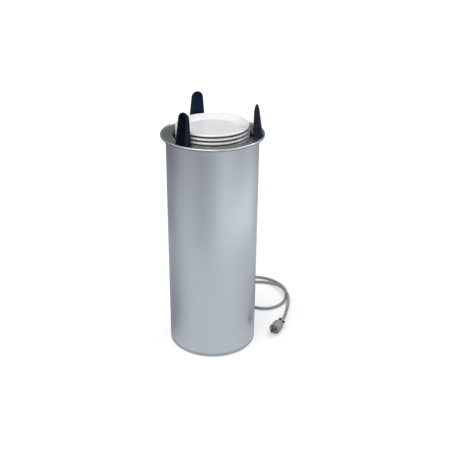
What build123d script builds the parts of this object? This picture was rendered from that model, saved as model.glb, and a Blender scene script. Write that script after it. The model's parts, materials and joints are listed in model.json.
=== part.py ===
from build123d import *
import math
import os

# Self-levelling heated plate dispenser that drops into a counter. Sizes are in millimetres.
# The origin is the centre of the base on the floor, +Z is up, and the mains lead leaves
# the casing at the back, towards +Y.

# Common to many pieces
cut_spare = 1.0             # how far a cut passes the surface that it opens
fastener_play = 0.2         # round every screw and rivet
screw_slot_width = 0.9
screw_slot_share = 0.4      # of a head's height
screw_round_share = 0.45    # of a head's height
nut_play = 0.1

# Plates
plate_diameter = 210.5
plate_height = 22.0
plate_pitch = 11.4
plate_floor = 6.1           # thickness of the plate's middle
plate_edge = 6.0            # thickness of the rim at its edge
plate_well_diameter = 146.0
plate_foot_diameter = 124.0
plate_foot_width = 5.0
plate_foot_flare = 1.0      # of the foot's outer side
plate_foot_round = 1.2
plate_gap = 0.3             # from a plate's foot to the well under it
plate_flank = 3.0           # from the well's edge to where the underside starts to rise
plate_brim = 9.0            # width of the brim's underside
plate_brim_rise = 0.8
plate_brim_round = 5.0
plate_roll = 7.0            # flat of the rim's top
plate_slope = 13.0          # from the rim's edge to the end of its slope
plate_slope_drop = 2.2
plate_wall_run = 5.0        # from the well's edge to the top of its wall
plate_wall_rise = 2.6
plate_round = 4.0
plate_edge_share = 0.42     # of the rim's thickness, rounded at each side of its edge
plate_count = 12
loose_plate_count = 3       # plates at the top that are nodes of their own
plate_rise = 26.15          # from the flange's rim up to the top plate's rim

# Top ring
housing_height = 675.0      # from the floor to the flange's rim
plate_play = 7.75           # from a plate's edge to the opening's wall
ring_thickness = 1.2
collar_depth = 26.0
deck_drop = 3.5             # from the rim down to the flat deck
rim_slope = 3.35
rim_flat = 2.0
rim_height = 6.0
rim_round = 1.5
opening_round = 2.5

# Plate guides
guide_length = 90.5
guide_foot_depth = 28.0
guide_foot_width = 48.0
guide_tip_depth = 11.3
guide_tip_width = 35.0
guide_tip_dome = 20.0       # height over which the tip closes front to back
guide_tip_steps = 8         # cross-sections up the rounded tip
guide_tip_climb = 85.0      # angle round the tip's arc at the last of them
guide_lean = 3.0            # how far the inner face leans outwards
guide_setback = 1.6         # from the opening's wall to the guide's foot
guide_margin = 0.8          # from the guide's foot to the rim's slope
guide_turns = {"guide_right": -8.7, "guide_back": 111.3, "guide_front": 231.3}
guide_screw_inset = 8.0
guide_screw_depth = 14.0
guide_screw_radius = 2.3
guide_screw_head_radius = 4.5
guide_screw_head = 2.8
guide_corner_share = 0.44   # of a cross-section's smaller side
pilot_spare = 1.0           # of a screw hole past the screw's end

# Rails and casing
rail_gap = 1.8              # from the collar to the rail
rail_depth = 12.0
rail_width = 22.0
rail_wall = 1.5
rail_standoff = 4.5         # from the rail's back to the casing
rail_turns = (51.3, 171.3, 291.3)
shell_wall = 1.0

# Base
base_band = 10.0            # band of the pan that shows under the casing
base_seam = 0.4
base_skirt = 18.0
base_sheet = 1.2
base_recess = 8.0
base_fit = 0.1              # between the pan's skirt and the casing
base_round = 1.0
foot_margin = 4.0           # from the recess to the rails
vent_diameter = 10.0
vent_circle = 80.0
vent_count = 12
base_screw_turns = (20.0, 70.0, 110.0, 160.0)
base_screw_radius = 2.0
base_screw_head_radius = 3.6
base_screw_head = 2.0
base_screw_length = 5.0

# Carrier
platform_thickness = 2.0
platform_play = 6.0         # from the platform's edge to the opening's wall
upright_play = 1.0          # from an upright to the opening's wall
upright_thickness = 3.0
upright_width = 20.0
upright_drop = 150.0        # from the platform down to the lower arms
tab_height = 24.0           # of the turned-up edges that the uprights are riveted to
neck_length = 32.0          # of the crossbar and spider where they lie on each other
arm_thickness = 3.0
spider_radius = 62.0
spider_hole_radius = 34.0
shoe_height = 30.0
shoe_play = 0.4             # each side of a shoe in its rail
shoe_inset = 4.0            # from an upright's ends to its shoes
shoe_chamfer = 2.0
rivet_inset = 15.0          # from an upright's ends to its rivets
rivet_radius = 2.4
rivet_head_radius = 4.2
rivet_head = 2.2
rivet_reach = 8.0           # of a rivet into its shoe
carrier_nut = 3.0
nut_across = 8.0
hole_circles = (38.0, 62.0, 86.0)
hole_radii = (10.0, 7.0, 5.0)
hole_counts = (6, 12, 18)
notch_play = 1.5            # between the crossbar and the rail

# Springs and what they hook on
spring_diameter = 11.0
spring_wire = 1.6
spring_eye_radius = 4.0
spring_side = 24.0          # from the rail's middle to each spring
hook_tab_width = 10.0
hook_tab_height = 14.0
hook_tab_thickness = 3.0
hook_hole_radius = 2.5
hook_hole_edge = 5.0
hanger_thickness = 1.5
hanger_depth = 10.0
hook_margin = 1.0           # of sheet past the hook tabs

# Heater
baffle_height = 60.0
baffle_sheet = 1.2
baffle_play = 4.0           # from the baffle to the foot channel
baffle_post_radius = 4.0
baffle_post_circle = 95.0
element_radius = 75.0
element_rod_radius = 4.0
element_height = 90.0
element_gap_turn = 60.0
element_gap = 14.0          # angle between the element's two legs
element_leg_end = 46.0
element_bend = 10.0
leg_hole_radius = 6.0
clip_fit = 0.25
clip_wall = 2.0
clip_width = 8.0
clip_post_radius = 3.0
bumper_radius = 8.0
bumper_circle = 50.0
bumper_top = 100.0
bumper_chamfer = 1.5

# Thermostat and wiring
thermostat_size = (44.0, 32.0, 26.0)
thermostat_y = -40.0
thermostat_round = 2.0
bush_radius = 5.0
bush_length = 6.0
bush_play = 0.2
nut_radius = 8.0
nut_thickness = 3.0
spindle_radius = 3.0
spindle_fit = 0.05
spindle_low = 2.5
spindle_high = 22.0
spindle_slot = 1.2
bulb_radius = 3.0
bulb_length = 56.0
bulb_y = -28.0
capillary_radius = 1.0
capillary_bend = 6.0
capillary_reach = 18.0      # how far the capillary passes the thermostat's side
capillary_height = 28.0
capillary_hole_radius = 4.0
block_size = (50.0, 22.0, 16.0)
block_y = 45.0
terminal_radius = 3.0
terminal_depth = 5.0
lead_radius = 1.3
core_circle = 2.6           # of the three cores round the middle of the jacket
core_turns = (210.0, 90.0, -30.0)
core_strip = 8.0            # straight run of the cores out of the jacket
lead_run = 22.0             # straight run of the cores into the block
lead_pair = 8.0             # between the two leads to the element
lead_bend = 4.0
lead_height = 20.0
lead_spread = 12.0

# Mains lead
cord_diameter = 10.0
cord_rest = 5.15            # height of the lead's middle where it lies on the floor
gland_height = 42.0
gland_flange_radius = 12.0
gland_flange = 5.0
gland_nose = 29.0
gland_nose_radius = 9.0
gland_tip_radius = 6.4
gland_neck_radius = 8.0
gland_hole_play = 0.2
gland_groove_count = 4
gland_groove_depth = 0.9
gland_groove_width = 2.0
gland_nut_radius = 11.0
gland_nut_thickness = 4.0
gland_bore_play = 0.1
tail_length = 18.0          # of jacket inside the gland's nut

# Plug
plug_turn = -119.0          # direction of the plug's axis, from its cord end to its face
plug_radius = 17.5
plug_body_length = 42.0
plug_shoulder = 15.0
plug_neck_radius = 11.0
plug_cone = 12.0
plug_cone_knee = 5.0        # where the cone's slope changes
plug_edge_round = 2.0
plug_groove_count = 16
plug_groove_radius = 0.9
plug_groove_lift = 0.2      # of the grooves' middle line above the surface
plug_groove_start = 8.0     # from the cone to the grooves
plug_groove_end = 10.0      # from the grooves to the body's end
plug_face_radius = 14.8
plug_face_thickness = 3.0
plug_face_depth = 2.0       # of the face below the body's end
clamp_length = 12.5
clamp_width = 20.0
clamp_height = 14.0
clamp_split = 1.4
clamp_fit = 0.1
clamp_step = 2.0            # from the lead's entry to the saddles
clamp_round = 0.6
clamp_hole_play = 0.1
clamp_screw_side = 7.4
clamp_screw_radius = 1.4
clamp_head_radius = 3.2
clamp_head = 3.0
blade_width = 6.4
blade_thickness = 1.6
blade_length = 18.0
blade_spacing = 12.7
blade_root = 2.0            # of a blade or pin inside the face
pin_radius = 2.4
pin_length = 21.0
pin_offset = 10.0
plug_roll = 35.0
clamp_roll = 59.0

# Radii that follow from the plates outwards
plate_radius = plate_diameter / 2
opening_radius = plate_radius + plate_play
collar_radius = opening_radius + ring_thickness
rail_inner = collar_radius + rail_gap
rail_back = rail_inner + rail_depth
shell_inner = rail_back + rail_standoff
shell_radius = shell_inner + shell_wall
guide_inner = opening_radius + guide_setback
deck_radius = guide_inner + guide_foot_depth + guide_margin
flange_radius = deck_radius + rim_slope + rim_flat
upright_outer = opening_radius - upright_play
recess_radius = rail_inner - foot_margin
upright_inner = upright_outer - upright_thickness
baffle_radius = recess_radius - baffle_play
spring_radius = rail_inner + rail_depth / 2

# Heights that follow from the rim downwards
deck_top = housing_height - deck_drop
deck_under = deck_top - ring_thickness
rail_top = deck_under - hanger_thickness
top_plate_foot = housing_height + plate_rise - plate_height
platform_top = top_plate_foot - (plate_count - 1) * plate_pitch
platform_under = platform_top - platform_thickness
upright_low = platform_under - upright_drop
crossbar_low = upright_low - arm_thickness
spider_low = crossbar_low - arm_thickness
pan_floor = base_recess + base_sheet
baffle_top = baffle_height + baffle_sheet

# The lead's route from the gland to the plug, chosen by hand: out of the back, round to the
# right and through a loose loop on the floor, back behind the casing, round on its left and
# over its own first turn to the plug at the front right.
gland_tip = shell_radius + gland_flange + gland_nose
cord_route = [
    (0, gland_tip, gland_height),
    (0, 196, gland_height),
    (6, 225, 35),
    (25, 247, 23),
    (55, 254, 12),
    (82, 241, cord_rest),
    (97, 213, cord_rest),
    (107, 182, cord_rest),
    (125, 154, cord_rest),
    (155, 137.5, cord_rest),
    (185, 134.5, cord_rest),
    (213, 145, cord_rest),
    (238, 166, cord_rest),
    (252.5, 195, cord_rest),
    (259.5, 230, cord_rest),
    (257.5, 265, cord_rest),
    (243, 299, cord_rest),
    (217, 328, cord_rest),
    (184, 347, cord_rest),
    (148, 352, cord_rest),
    (108, 353.5, cord_rest),
    (66, 354.5, cord_rest),
    (24, 355, cord_rest),
    (-18, 354, cord_rest),
    (-58, 343, cord_rest),
    (-87, 318, cord_rest),
    (-94, 283, cord_rest),
    (-79, 252, cord_rest),
    (-46, 238, cord_rest),
    (-10, 247, cord_rest),
    (21, 269, cord_rest),
    (51, 289, cord_rest),
    (83, 304, cord_rest),
    (118, 313, cord_rest),
    (154, 316.5, cord_rest),
    (188, 314, cord_rest),
    (212, 304, 6.5),
    (232, 281, 12),
    (248, 254, 16.4),
    (257.5, 225, 16.4),
    (261.5, 196, 15),
    (259.5, 168, 8),
    (254, 140, cord_rest),
    (247.5, 112, 8),
    (241.5, 84, 14),
    (232.8, 53.7, plug_radius),
    (224.6, 38.9, plug_radius),
]


def write(node, *shapes):
    """Write the solids of one node to its STEP file."""
    solids = [solid for shape in shapes for solid in shape.solids()]
    shape = solids[0] if len(solids) == 1 else Compound(solids)
    export_step(shape, f"parts/{node}.step")


def around(turns, shape):
    """Copies of a shape that was drawn with +X outwards, turned about the vertical axis."""
    return [Rot(0, 0, turn) * shape for turn in turns]


def box(x, y, z):
    """A box from (low, high) pairs."""
    size = [high - low for low, high in (x, y, z)]
    middle = [(high + low) / 2 for low, high in (x, y, z)]
    return Pos(*middle) * Box(*size)


def rod(radius, low, high, x=0.0, y=0.0):
    """A vertical cylinder between two heights."""
    return Pos(x, y, (low + high) / 2) * Cylinder(radius, high - low)


def radial_rod(radius, inner, outer, z):
    """A cylinder along +X between two distances from the axis."""
    return Pos((inner + outer) / 2, 0, z) * Rot(0, 90, 0) * Cylinder(radius, outer - inner)


def screw_hole(radius, low, high, x):
    """A vertical hole for a fastener of the given radius, past both ends."""
    return rod(radius + fastener_play, low - cut_spare, high + cut_spare, x=x)


def sheet_section(points, thickness):
    """Cross-section of a bent sheet that lies to the left of the walk along its points."""
    normals = []
    for (x0, y0), (x1, y1) in zip(points, points[1:]):
        length = math.hypot(x1 - x0, y1 - y0)
        normals.append(((y0 - y1) / length, (x1 - x0) / length))
    other_side = []
    for index, (x, y) in enumerate(points):
        before = normals[max(index - 1, 0)]
        after = normals[min(index, len(normals) - 1)]
        stretch = thickness / (1 + before[0] * after[0] + before[1] * after[1])
        other_side.append(
            (x + stretch * (before[0] + after[0]), y + stretch * (before[1] + after[1]))
        )
    return make_face(Polyline(*points, *reversed(other_side), close=True))


def rounded(section, corners, radius):
    """The section with the corners nearest to the given points rounded."""
    for corner in corners:
        vertex = section.vertices().sort_by_distance((*corner, 0))[0]
        section = fillet(vertex, radius)
    return section


def turned(section):
    """A solid of revolution from a section drawn as (radius, height)."""
    return revolve(Plane.XZ * section, Axis.Z)


def tube(points, radius, bends):
    """A round bar along straight runs joined by arcs of the given radii."""
    path = FilletPolyline(*points, radius=bends) if bends else Line(*points)
    section = Plane(origin=path @ 0, z_dir=path % 0) * Circle(radius)
    return sweep(section, path=path)


def top_ring():
    """Flange, turned rim and collar in one sheet."""
    walk = [
        (flange_radius, housing_height - rim_height),
        (flange_radius, housing_height),
        (flange_radius - rim_flat, housing_height),
        (deck_radius, deck_top),
        (opening_radius, deck_top),
        (opening_radius, deck_top - collar_depth),
    ]
    section = sheet_section(walk, ring_thickness)
    section = rounded(section, [walk[1]], rim_round)
    section = rounded(section, [walk[4]], opening_round)
    ring = turned(section)
    for turn in guide_turns.values():
        hole = screw_hole(guide_screw_radius, deck_under, deck_top, guide_inner + guide_screw_inset)
        ring -= Rot(0, 0, turn) * hole
    return ring


def outer_shell():
    """The casing, open at both ends, with holes for the gland and the base screws."""
    low = base_band + base_seam
    shell = rod(shell_radius, low, deck_under)
    shell -= rod(shell_inner, low - cut_spare, deck_under + cut_spare)
    gland_hole = wall_hole(gland_neck_radius + gland_hole_play, gland_height)
    shell -= Rot(0, 0, 90) * gland_hole
    for hole in base_screw_holes():
        shell -= hole
    return shell


def wall_hole(radius, z):
    """A round hole through the casing and the skirt inside it, drawn at +X."""
    inner = shell_inner - base_fit - base_sheet - cut_spare
    return radial_rod(radius, inner, shell_radius + cut_spare, z)


def base_screw_holes():
    """Holes through the casing and the pan's skirt."""
    hole = wall_hole(base_screw_radius + fastener_play, base_screw_height())
    return around(base_screw_turns, hole)


def base_screw_height():
    """Height of the screws that hold the casing to the pan's skirt."""
    return base_band + base_skirt / 2


def base_pan():
    """Stamped pan: a foot channel under the casing, a recessed middle and a skirt inside."""
    skirt_radius = shell_inner - base_fit
    walk = [
        (skirt_radius, base_band + base_skirt),
        (skirt_radius, base_band),
        (shell_radius, base_band),
        (shell_radius, 0),
        (recess_radius - base_sheet, 0),
        (recess_radius - base_sheet, base_recess),
        (0, base_recess),
    ]
    inside = [
        (skirt_radius - base_sheet, base_band + base_skirt),
        (skirt_radius - base_sheet, base_band - base_sheet),
        (shell_radius - base_sheet, base_band - base_sheet),
        (shell_radius - base_sheet, base_sheet),
        (recess_radius, base_sheet),
        (recess_radius, pan_floor),
        (0, pan_floor),
    ]
    section = make_face(Polyline(*walk, *reversed(inside), close=True))
    pan = turned(rounded(section, [walk[3]], base_round))
    for index in range(vent_count):
        vent = floor_hole(vent_diameter / 2, x=vent_circle)
        pan -= Rot(0, 0, 360 * (index + 0.5) / vent_count) * vent
    pan -= floor_hole(bush_radius + bush_play, y=thermostat_y)
    for hole in base_screw_holes():
        pan -= hole
    return pan


def floor_hole(radius, x=0.0, y=0.0):
    """A round hole through the pan's middle."""
    return rod(radius, base_recess - cut_spare, pan_floor + cut_spare, x=x, y=y)


def round_top(size, z, radius):
    """The size of a tip at height z, where it closes in a round of the given radius."""
    over = max(0.0, z - (guide_length - radius))
    return size * math.sqrt(max(0.0, 1 - (over / radius) ** 2))


def guide():
    """Tapered tongue-shaped plate guide, drawn with its inner face towards -X."""
    shoulder = guide_length - guide_tip_width / 2
    heights = [0.0]
    for index in range(guide_tip_steps):
        climb = math.radians(guide_tip_climb * index / (guide_tip_steps - 1))
        heights.append(shoulder + guide_tip_width / 2 * math.sin(climb))
    sections = []
    for z in heights:
        share = z / guide_length
        taper = min(1.0, z / shoulder)
        width = guide_foot_width + (guide_tip_width - guide_foot_width) * taper
        full_depth = guide_foot_depth + (guide_tip_depth - guide_foot_depth) * share
        middle = guide_inner + guide_lean * share + full_depth / 2
        width = round_top(width, z, guide_tip_width / 2)
        depth = round_top(full_depth, z, guide_tip_dome)
        outline = RectangleRounded(depth, width, guide_corner_share * min(width, depth))
        sections.append(Pos(middle, 0, deck_top + z) * outline)
    pilot = rod(
        guide_screw_radius + fastener_play,
        deck_top - cut_spare,
        deck_top + guide_screw_depth,
        x=guide_inner + guide_screw_inset,
    )
    return loft(sections, ruled=True) - pilot


def pan_screw(head_radius, head, shank_radius, shank):
    """A screw along +Z: its head lies below 0 and its shank above."""
    dome = Pos(0, 0, -head / 2) * Cylinder(head_radius, head)
    dome = fillet(dome.edges().group_by(Axis.Z)[0], head * screw_round_share)
    slot = Pos(0, 0, -head) * Box(
        2 * head_radius, screw_slot_width, 2 * head * screw_slot_share
    )
    return dome - slot + Pos(0, 0, shank / 2) * Cylinder(shank_radius, shank)


def guide_screws():
    """One screw up through the deck into each guide."""
    shank = ring_thickness + guide_screw_depth - pilot_spare
    screw = pan_screw(guide_screw_head_radius, guide_screw_head, guide_screw_radius, shank)
    placed = Pos(guide_inner + guide_screw_inset, 0, deck_under) * screw
    return around(guide_turns.values(), placed)


def base_screws():
    """Screws through the casing into the pan's skirt."""
    screw = pan_screw(
        base_screw_head_radius, base_screw_head, base_screw_radius, base_screw_length
    )
    placed = Pos(shell_radius, 0, base_screw_height()) * Rot(0, -90, 0) * screw
    return around(base_screw_turns, placed)


def rail():
    """Vertical channel, open towards the middle."""
    low = base_sheet
    half = rail_width / 2
    outside = box((rail_inner, rail_back), (-half, half), (low, rail_top))
    hollow = box(
        (rail_inner - cut_spare, rail_back - rail_wall),
        (rail_wall - half, half - rail_wall),
        (low - cut_spare, rail_top + cut_spare),
    )
    return outside - hollow


def hook_tab(y):
    """Upright tab with a hole near its upper edge; its foot is at height 0."""
    half = hook_tab_width / 2
    thick = hook_tab_thickness / 2
    tab = box(
        (spring_radius - thick, spring_radius + thick), (y - half, y + half), (0, hook_tab_height)
    )
    hole = radial_rod(
        hook_hole_radius,
        spring_radius - thick - cut_spare,
        spring_radius + thick + cut_spare,
        hook_tab_height - hook_hole_edge,
    )
    return tab - Pos(0, y, 0) * hole


def hook_tabs():
    """The pair of tabs that one pair of springs hooks on."""
    return hook_tab(-spring_side) + hook_tab(spring_side)


def spring_hanger():
    """Bracket under the deck with two tabs that hang down."""
    half = spring_side + hook_tab_width / 2 + hook_margin
    plate = box(
        (spring_radius - hanger_depth / 2, spring_radius + hanger_depth / 2),
        (-half, half),
        (rail_top, deck_under),
    )
    hanging = Pos(0, 0, rail_top) * mirror(hook_tabs(), Plane.XY)
    return plate + hanging


def top_hole_height():
    """Height of the holes that the springs' upper eyes pass through."""
    return rail_top - hook_tab_height + hook_hole_edge


def bottom_hole_height():
    """Height of the holes that the springs' lower eyes pass through."""
    return upright_low + hook_tab_height - hook_hole_edge


def spring(y):
    """Outer shape of one extension spring with a round eye at each end."""
    high_eye = top_hole_height() - spring_eye_radius
    low_eye = bottom_hole_height() + spring_eye_radius
    high = high_eye - spring_eye_radius + spring_wire / 2
    low = low_eye + spring_eye_radius - spring_wire / 2
    coil = rod(spring_diameter / 2, low, high, x=spring_radius, y=y)
    coil -= rod(
        spring_diameter / 2 - spring_wire,
        low + spring_wire,
        high - spring_wire,
        x=spring_radius,
        y=y,
    )
    eye = Rot(90, 0, 0) * Torus(spring_eye_radius, spring_wire / 2)
    for height in (low_eye, high_eye):
        coil += Pos(spring_radius, y, height) * eye
    return coil


def plate(foot_height):
    """Rolled-edge plate whose foot stands at the given height."""
    well_top = plate_pitch - plate_gap
    well_under = well_top - plate_floor
    foot = plate_foot_diameter / 2
    well = plate_well_diameter / 2
    edge_under = plate_height - plate_edge
    outline = [
        (0, well_under),
        (foot - plate_foot_width, well_under),
        (foot - plate_foot_width, 0),
        (foot, 0),
        (foot + plate_foot_flare, well_under - plate_foot_flare),
        (well + plate_flank, well_under),
        (plate_radius - plate_brim, edge_under - plate_brim_rise),
        (plate_radius, edge_under),
        (plate_radius, plate_height),
        (plate_radius - plate_roll, plate_height),
        (plate_radius - plate_slope, plate_height - plate_slope_drop),
        (well + plate_wall_run, well_top + plate_wall_rise),
        (well, well_top),
        (0, well_top),
    ]
    section = make_face(Polyline(*outline, close=True))
    section = rounded(section, [outline[7], outline[8]], plate_edge * plate_edge_share)
    section = rounded(section, outline[9:13], plate_round)
    section = rounded(section, [outline[6]], plate_brim_round)
    section = rounded(section, [outline[2], outline[3]], plate_foot_round)
    return Pos(0, 0, foot_height) * turned(section)


def carrier_platform():
    """Perforated disc that the stack stands on, with three edges turned down."""
    disc = rod(opening_radius - platform_play, platform_under, platform_top)
    for circle, radius, count in zip(hole_circles, hole_radii, hole_counts):
        hole = rod(radius, platform_under - cut_spare, platform_top + cut_spare, x=circle)
        for index in range(count):
            disc -= Rot(0, 0, rail_turns[0] + 360 * (index + 0.5) / count) * hole
    edge = riveted_edge(platform_top - tab_height, platform_top - rivet_inset)
    for turned_edge in around(rail_turns, edge):
        disc += turned_edge
    return disc


def riveted_edge(low, rivet_height):
    """Turned edge that lies against an upright's inner face."""
    half = upright_width / 2
    inner = upright_inner - arm_thickness
    edge = box((inner, upright_inner), (-half, half), (low, low + tab_height))
    return edge - rivet_hole(inner - cut_spare, upright_outer, rivet_height)


def rivet_hole(inner, outer, height):
    """A hole for a rivet between two distances from the axis."""
    return radial_rod(rivet_radius + fastener_play, inner, outer, height)


def rivet_heights():
    """Heights of the lower and the upper rivet of each upright."""
    return (upright_low + rivet_inset, platform_top - rivet_inset)


def neck_bolt_radius():
    """Distance from the axis of the bolts that join the crossbars to the spider."""
    return upright_inner - neck_length / 2


def upright():
    """Flat bar between the platform and the lower arms."""
    half = upright_width / 2
    bar = box((upright_inner, upright_outer), (-half, half), (upright_low, platform_top))
    for height in rivet_heights():
        bar -= rivet_hole(upright_inner - cut_spare, upright_outer + cut_spare, height)
    return bar


def crossbar():
    """Lower arm, notched around the rail, with the springs' tabs standing on its ends."""
    half = spring_side + hook_tab_width / 2 + hook_margin
    outer = spring_radius + hanger_depth / 2 - hook_margin
    neck = upright_width / 2
    notch = rail_width / 2 + notch_play
    heights = (crossbar_low, upright_low)
    bar = box((upright_inner - neck_length, upright_outer), (-neck, neck), heights)
    bar += box((upright_inner - arm_thickness, outer), (-half, half), heights)
    bar -= box(
        (rail_inner - notch_play, outer + cut_spare),
        (-notch, notch),
        (crossbar_low - cut_spare, upright_low + cut_spare),
    )
    bar += Pos(0, 0, upright_low) * hook_tabs()
    bar += riveted_edge(upright_low, upright_low + rivet_inset)
    return bar - screw_hole(rivet_radius, crossbar_low, upright_low, neck_bolt_radius())


def spider():
    """Plate with three arms that ties the lower ends of the uprights together."""
    heights = (spider_low, crossbar_low)
    half = upright_width / 2
    star = rod(spider_radius, *heights)
    for arm in around(rail_turns, box((0, upright_inner), (-half, half), heights)):
        star += arm
    star -= rod(spider_hole_radius, spider_low - cut_spare, crossbar_low + cut_spare)
    hole = screw_hole(rivet_radius, spider_low, crossbar_low, neck_bolt_radius())
    for turned_hole in around(rail_turns, hole):
        star -= turned_hole
    return star


def glide_shoes():
    """Two nylon blocks on each upright, one near each end, that run in the rail."""
    half = rail_width / 2 - rail_wall - shoe_play
    outer = rail_back - rail_wall - shoe_play
    lows = (upright_low + shoe_inset, platform_top - shoe_inset - shoe_height)
    blocks = []
    for low, rivet_height in zip(lows, rivet_heights()):
        block = box((upright_outer, outer), (-half, half), (low, low + shoe_height))
        block = chamfer(block.edges().filter_by(Axis.Y).group_by(Axis.X)[-1], shoe_chamfer)
        block -= rivet_hole(upright_outer - cut_spare, upright_outer + rivet_reach, rivet_height)
        blocks += around(rail_turns, block)
    return blocks


def hex_nut(low, thickness, across, bore):
    """A nut on the vertical axis."""
    blank = extrude(RegularPolygon(across / 2, 6, major_radius=False), thickness)
    return Pos(0, 0, low) * blank - rod(bore, low - cut_spare, low + thickness + cut_spare)


def carrier_screws():
    """Rivets through each upright into its shoes, and bolts between crossbars and spider."""
    grip = arm_thickness + upright_thickness + rivet_reach - pilot_spare
    rivet = pan_screw(rivet_head_radius, rivet_head, rivet_radius, grip)
    pieces = []
    for height in rivet_heights():
        placed = Pos(upright_inner - arm_thickness, 0, height) * Rot(0, 90, 0) * rivet
        pieces += around(rail_turns, placed)
    length = 2 * arm_thickness + carrier_nut + pilot_spare
    bolt = pan_screw(rivet_head_radius, rivet_head, rivet_radius, length)
    pieces += around(rail_turns, Pos(neck_bolt_radius(), 0, spider_low) * bolt)
    nut = hex_nut(upright_low, carrier_nut, nut_across, rivet_radius + fastener_play)
    pieces += around(rail_turns, Pos(neck_bolt_radius(), 0, 0) * nut)
    return pieces


def heating_element():
    """Tubular ring with two legs that bend down through the baffle."""
    bend_angle = math.degrees(element_bend / element_radius)
    start = element_gap_turn + element_gap / 2 + bend_angle
    sweep_angle = 360 - element_gap - 2 * bend_angle
    section = Plane.XZ * Pos(element_radius, element_height) * Circle(element_rod_radius)
    ring = Rot(0, 0, start) * revolve(section, Axis.Z, sweep_angle)
    corner = element_height - element_bend
    for side, turn in ((-1, start), (1, start + sweep_angle)):
        hinge = Axis((element_radius, 0, corner), (-side, 0, 0))
        bend = revolve(section, hinge, 90)
        y = side * element_bend
        leg = rod(element_rod_radius, element_leg_end, corner, x=element_radius, y=y)
        ring += Rot(0, 0, turn) * (bend + leg)
    return ring


def element_clips():
    """Posts with a collar that hold the ring over the baffle."""
    bore = element_rod_radius + clip_fit
    place = Pos(element_radius, 0, element_height) * Rot(90, 0, 0)
    post_top = element_height - bore - clip_wall / 2
    clip = rod(clip_post_radius, baffle_top, post_top, x=element_radius)
    clip += place * Cylinder(bore + clip_wall, clip_width)
    clip -= place * Cylinder(bore, clip_width + 2 * cut_spare)
    return around(guide_turns.values(), clip)


def leg_turns_and_radius():
    """Angles and radius at which the legs pass the baffle."""
    bend_angle = math.degrees(element_bend / element_radius)
    reach = math.hypot(element_radius, element_bend)
    back = math.degrees(math.atan2(element_bend, element_radius))
    first = element_gap_turn + element_gap / 2 + bend_angle - back
    last = element_gap_turn - element_gap / 2 - bend_angle + back
    return (first, last), reach


def capillary_x():
    """How far to the side the capillary passes down through the baffle."""
    return thermostat_size[0] / 2 + capillary_reach


def heat_baffle():
    """Disc under the element that screens the wiring."""
    heights = (baffle_height - cut_spare, baffle_top + cut_spare)
    disc = rod(baffle_radius, baffle_height, baffle_top)
    turns, reach = leg_turns_and_radius()
    for turn in turns:
        disc -= Rot(0, 0, turn) * rod(leg_hole_radius, *heights, x=reach)
    return disc - rod(capillary_hole_radius, *heights, x=capillary_x(), y=bulb_y)


def baffle_posts():
    """Spacers that carry the baffle on the pan."""
    post = rod(baffle_post_radius, pan_floor, baffle_height, x=baffle_post_circle)
    return around(guide_turns.values(), post)


def stop_bumpers():
    """Rubber stops under the spider."""
    bumper = rod(bumper_radius, baffle_top, bumper_top, x=bumper_circle)
    bumper = chamfer(bumper.edges().group_by(Axis.Z)[-1], bumper_chamfer)
    return around(rail_turns, bumper)


def thermostat():
    """Thermostat body on the pan with its threaded bush through the pan."""
    width, depth, height = thermostat_size
    body = box(
        (-width / 2, width / 2),
        (thermostat_y - depth / 2, thermostat_y + depth / 2),
        (pan_floor, pan_floor + height),
    )
    body = fillet(body.edges().filter_by(Axis.Z), thermostat_round)
    bush_low = pan_floor - bush_length
    body += rod(bush_radius, bush_low, pan_floor, y=thermostat_y)
    bore = spindle_radius + spindle_fit
    return body - rod(bore, bush_low - cut_spare, spindle_high + cut_spare, y=thermostat_y)


def thermostat_nut():
    """Nut that holds the bush in the pan."""
    bore = bush_radius + nut_play
    nut = hex_nut(base_recess - nut_thickness, nut_thickness, 2 * nut_radius, bore)
    return Pos(0, thermostat_y, 0) * nut


def thermostat_spindle():
    """Spindle with a screwdriver slot, reached through the bush from below."""
    spindle = rod(spindle_radius, spindle_low, spindle_high, y=thermostat_y)
    slot = Box(2 * spindle_radius + cut_spare, spindle_slot, 2 * spindle_slot)
    return spindle - Pos(0, thermostat_y, spindle_low) * slot


def sensing_bulb():
    """Bulb on the baffle and the capillary that runs down to the thermostat."""
    z = baffle_top + bulb_radius
    side = thermostat_size[0] / 2
    bulb = Pos(0, bulb_y) * radial_rod(bulb_radius, side - bulb_length, side, z)
    far = capillary_x()
    points = [
        (side, bulb_y, z),
        (far, bulb_y, z),
        (far, bulb_y, capillary_height),
        (side, bulb_y, capillary_height),
    ]
    return bulb + tube(points, capillary_radius, [capillary_bend, capillary_bend])


def terminal_block():
    """Block with three pairs of terminal wells in its top."""
    width, depth, height = block_size
    top = pan_floor + height
    body = box(
        (-width / 2, width / 2), (block_y - depth / 2, block_y + depth / 2), (pan_floor, top)
    )
    for x in (-width / 3, 0, width / 3):
        for y in (block_y - depth / 4, block_y + depth / 4):
            body -= rod(terminal_radius, top - terminal_depth, top + cut_spare, x=x, y=y)
    return body


def tail_end():
    """Distance from the axis to the end of the lead's jacket inside the casing."""
    return gland_nut_face() - gland_nut_thickness - tail_length


def gland_nut_face():
    """Distance from the axis to the nut's outer face, where it meets the curved casing."""
    return math.sqrt(shell_inner**2 - gland_nut_radius**2)


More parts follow.
